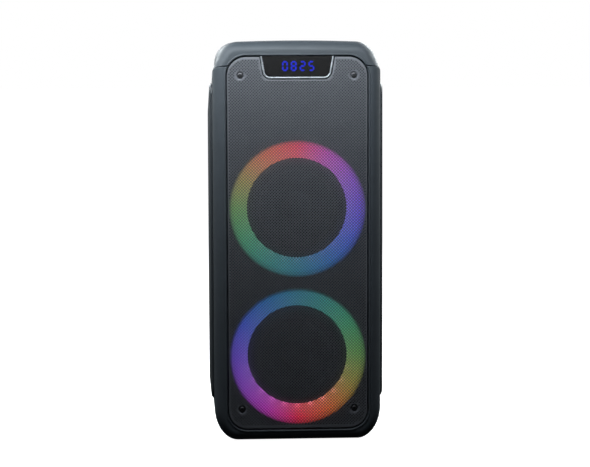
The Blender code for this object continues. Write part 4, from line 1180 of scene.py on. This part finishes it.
# Half sections of the sockets, in millimetres: a radius, and a distance out from the plate's face
JACK_BODY = [(3.3, -20), (3.3, 2.6), (3.7, 3.0), (5.6, 3.0), (6.2, 2.7), (8.8, 1.8), (9.0, 1.4), (9.0, 0.3),
             (6.5, 0.3), (6.5, -4.0), (7.8, -4.0), (7.8, -20)]
JACK_RING = [(3.1, -10), (3.1, 3.0), (3.4, 3.3), (4.8, 3.3), (5.2, 3.0), (3.4, 2.9), (3.3, -10)]
AUX_BODY = [(1.8, -12), (1.8, 0.9), (2.1, 1.2), (3.2, 1.2), (3.5, 0.9), (3.5, -3.5), (4.5, -3.5), (4.5, -12)]


def make_jack_part(piece, node, section, paint, steps, replaces=()):
    centre = middle(node)
    profile = [(r / 1000, PLATE_FACE + t / 1000) for r, t in section]
    obj = turned(piece, profile, (centre.x, 0, centre.z), paint, steps=steps)
    finish_piece(obj, replaces=replaces)


def make_jacks():
    """Sockets with a nut and a body each. The microphones' also have a metal ring."""
    for name in MIC_JACKS:
        make_jack_part(f"{name}_body", name, JACK_BODY, "control", 64, [name])
        make_jack_part(f"{name}_ring", name, JACK_RING, "steel", 48)
    make_jack_part("aux_jack_body", "aux_jack", AUX_BODY, "steel", 48, ["aux_jack"])


def make_mic_knob():
    """Small fluted knob with a pointer groove in its end."""
    low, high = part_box("mic_volume_knob")
    centre, tip, face, radius = (low + high) / 2, high.y, PLATE_FACE, (high.x - low.x) / 2
    neck = radius - 0.0002
    rows = [(radius - 0.0010, face + 0.0010, 0), (radius, face + 0.0014, 0), (radius, face + 0.0022, 0),
            (neck, face + 0.0026, FLUTE_DEPTH), (neck, tip - 0.0012, FLUTE_DEPTH),
            (radius - 0.0006, tip - 0.0005, 0), (radius - 0.0012, tip - 0.0001, 0), (radius - 0.0020, tip, 0)]
    rings = [[(centre.x + a, y, centre.z + b) for a, b in fluted(r, 24, depth)] for r, y, depth in rows]
    knob = loft("mic_knob_cap", rings, "control", 50)
    groove_low = (centre.x - 0.0007, tip - 0.0008, centre.z + 0.0015)
    groove = box("groove", groove_low, (centre.x + 0.0007, tip + OVER, centre.z + FAR))
    shaft = rod("mic_shaft", SHAFT_R, low.y, face + 0.0014, (centre.x, 0, centre.z), steps=32)
    finish_control(knob, "mic_volume_knob", less(groove), plus(shaft))


def make_feet():
    """Rubber pads with a rounded edge and a shallow hollow in the sole."""
    edge, hollow = 0.0012, 0.0004
    for n in range(1, 5):
        node = f"foot_{n}"
        low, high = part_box(node)
        radius = (high.x - low.x) / 2
        profile = [(0, hollow), (radius * 0.55, hollow), (radius * 0.60, 0)]
        profile += arc(radius - edge, edge, edge, edge, -pi / 2, 0, 4)
        profile += [(radius, high.z), (0, high.z)]
        obj = turned(f"foot_pad_{n}", profile, (*middle(node).xy, 0), "rubber", "z", 64)
        finish_piece(obj, replaces=[node])


def make_plate_print():
    """Generic marks on the connection panel: a microphone, a level scale, a wave, a plug and a frame line."""
    microphone = stroke(circle(0.0013)[:-1], 0.0006, True)
    microphone += stroke([(0.0010, -0.0010), (0.0028, -0.0028)], 0.0009)
    scale = [face for angle in scale_angles(11) for face in ray(angle, 0.0110, 0.0125)]
    wave = stroke([(0.0040 * (k / 6 - 1), 0.0011 * sin(TURN * k / 12)) for k in range(13)], 0.0005)
    plug = stroke(rectangle(0.0030, -0.0010, 0.0010), 0.0005, True)
    rule = stroke(rounded_box(0.0660, -0.0750, 0.0750, 0.0030, 10), 0.0004, True)
    marks = [*[(jack, microphone, 0.0165) for jack in MIC_JACKS], ("mic_volume_knob", scale, 0),
             ("aux_jack", wave, 0.0095), ("usb_socket", plug, 0.0095), ("connection_panel", rule, 0)]
    faces = []
    for node, drawing, rise in marks:
        faces += shifted(drawing, middle(node).x, middle(node).z + rise)
    finish_piece(raised_print("plate_print", faces, lambda a, b, h: (a, PLATE_FACE + h, b)))


# ---- CAD nodes that stay ----
# The material and the width of the bevel of each node that is kept
KEPT = {
    "control_panel": ("panel", 0.0004),
    "connection_panel": ("panel", 0.0004),
    "usb_socket": ("steel", 0.0002),
    "mains_inlet": ("control", 0.0005),
    "power_rocker": ("control", 0.0006),
    "control_board": ("circuit", 0),
    "display_module": ("circuit", 0),
    "amplifier_board": ("circuit", 0),
    "battery_pack": ("battery", 0.002),
}
DRIVER_PAINTS = {"led_board": "circuit", "woofer_basket": "black_steel", "woofer_magnet": "ferrite",
                 "woofer_yoke": "steel", "woofer_spider": "spider"}


def paint_kept_nodes():
    inner = {f"{start}_{name}": (paint, 0) for start, paint in DRIVER_PAINTS.items() for name in DRIVERS}
    for node, (paint, width) in {**KEPT, **inner}.items():
        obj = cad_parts[node]
        obj.data.materials.clear()
        obj.data.materials.append(MATERIALS[paint])
        if width:
            bevelled(obj, width)


# ---- Floor, light and camera ----
def make_floor():
    bm = bmesh.new()
    bmesh.ops.create_circle(bm, cap_ends=True, radius=30, segments=96)
    obj = as_object(bm, "studio_floor")
    made = Finish("studio_floor")
    made.drive(made.spread(made.noise(2.0), 0.80, 0.82), "Roughness")
    fill(made.shader, Base_Color=(0.80, 0.80, 0.80, 1), Emission_Color=WHITE, Emission_Strength=FLOOR_GLOW)
    obj.data.materials.append(made.material)
    adjust(obj, visible_diffuse=False, visible_glossy=False)


def make_world():
    """A white backdrop, and dim light that grows towards the top of the room."""
    world = bpy.data.worlds.new("studio")
    made = Nodes(world)
    backdrop = made.tree.nodes["Background"]
    fill(backdrop, Color=WHITE, Strength=1.0)
    room = made.add("ShaderNodeBackground")
    fill(room, Color=ROOM_COLOUR)
    rise = made.split(made.add("ShaderNodeTexCoord").outputs["Generated"])["Z"]
    made.link(made.spread(rise, ROOM_LOW, ROOM_HIGH, -0.2, 0.6), room.inputs["Strength"])
    mix = made.add("ShaderNodeMixShader")
    made.link(made.add("ShaderNodeLightPath").outputs["Is Camera Ray"], mix.inputs["Fac"])
    made.link(room.outputs["Background"], mix.inputs[1])
    made.link(backdrop.outputs["Background"], mix.inputs[2])
    made.link(mix.outputs["Shader"], made.tree.nodes["World Output"].inputs["Surface"])
    bpy.context.scene.world = world


def area_light(name, place, target, width, height, power, colour=(1, 1, 1)):
    data = bpy.data.lights.new(name, "AREA")
    adjust(data, shape="RECTANGLE", size=width, size_y=height, energy=power, color=colour)
    obj = placed(name, data)
    obj.location = place
    obj.rotation_euler = (Vector(target) - Vector(place)).to_track_quat("-Z", "Y").to_euler()
    obj.visible_camera = False


def make_lights():
    """One softbox close above the front, panels behind each flank, and weak fill."""
    area_light("front_softbox", (-0.09, FRONT - 0.21, 0.72), (0, FRONT, 0.52), 0.7, 0.22, 3.9, COOL)
    for side, name, broad, narrow in ((-1, "left", 8.5, 2.5), (1, "right", 12.5, 4.0)):
        flank = (side * HALF_WIDTH, FRONT, 0.45)
        area_light(f"rim_{name}", (side * 0.75, 0.32, 0.94), flank, 1.0, 0.6, broad, PALE)
        area_light(f"edge_{name}", (side * 0.42, 0.62, 0.78), flank, 0.3, 0.3, narrow, PALE)
    area_light("side_fill", (-1.0, -1.0, 0.9), (0, FRONT, 0.45), 0.5, 1.0, 0.7, COOL)
    area_light("back_fill", (0.4, 2.4, 1.3), (0, 0, 0.3), 1.6, 1.6, 12)


def make_camera():
    obj = placed("camera", adjust(bpy.data.cameras.new("camera"), lens=CAMERA_LENS, sensor_width=36))
    turn = (CAMERA_AIM - CAMERA_PLACE).to_track_quat("-Z", "Y").to_matrix().to_4x4()
    obj.matrix_world = Matrix.Translation(CAMERA_PLACE) @ turn @ Matrix.Rotation(CAMERA_ROLL, 4, "Z")
    bpy.context.scene.camera = obj


def main():
    bpy.context.scene.view_settings.view_transform = "Standard"
    make_camera()
    make_floor()
    make_world()
    make_lights()
    make_front_shell()
    make_rear_shell()
    make_top_shell()
    make_side_cheeks()
    make_grille()
    make_display()
    for name, z in DRIVERS.items():
        make_light_ring(name, z)
        make_driver(name, z)
    make_screws()
    for name in ICONS:
        make_button(name)
    make_volume_knob()
    make_panel_print()
    make_handle()
    make_port()
    make_jacks()
    make_mic_knob()
    make_feet()
    make_plate_print()
    paint_kept_nodes()


main()
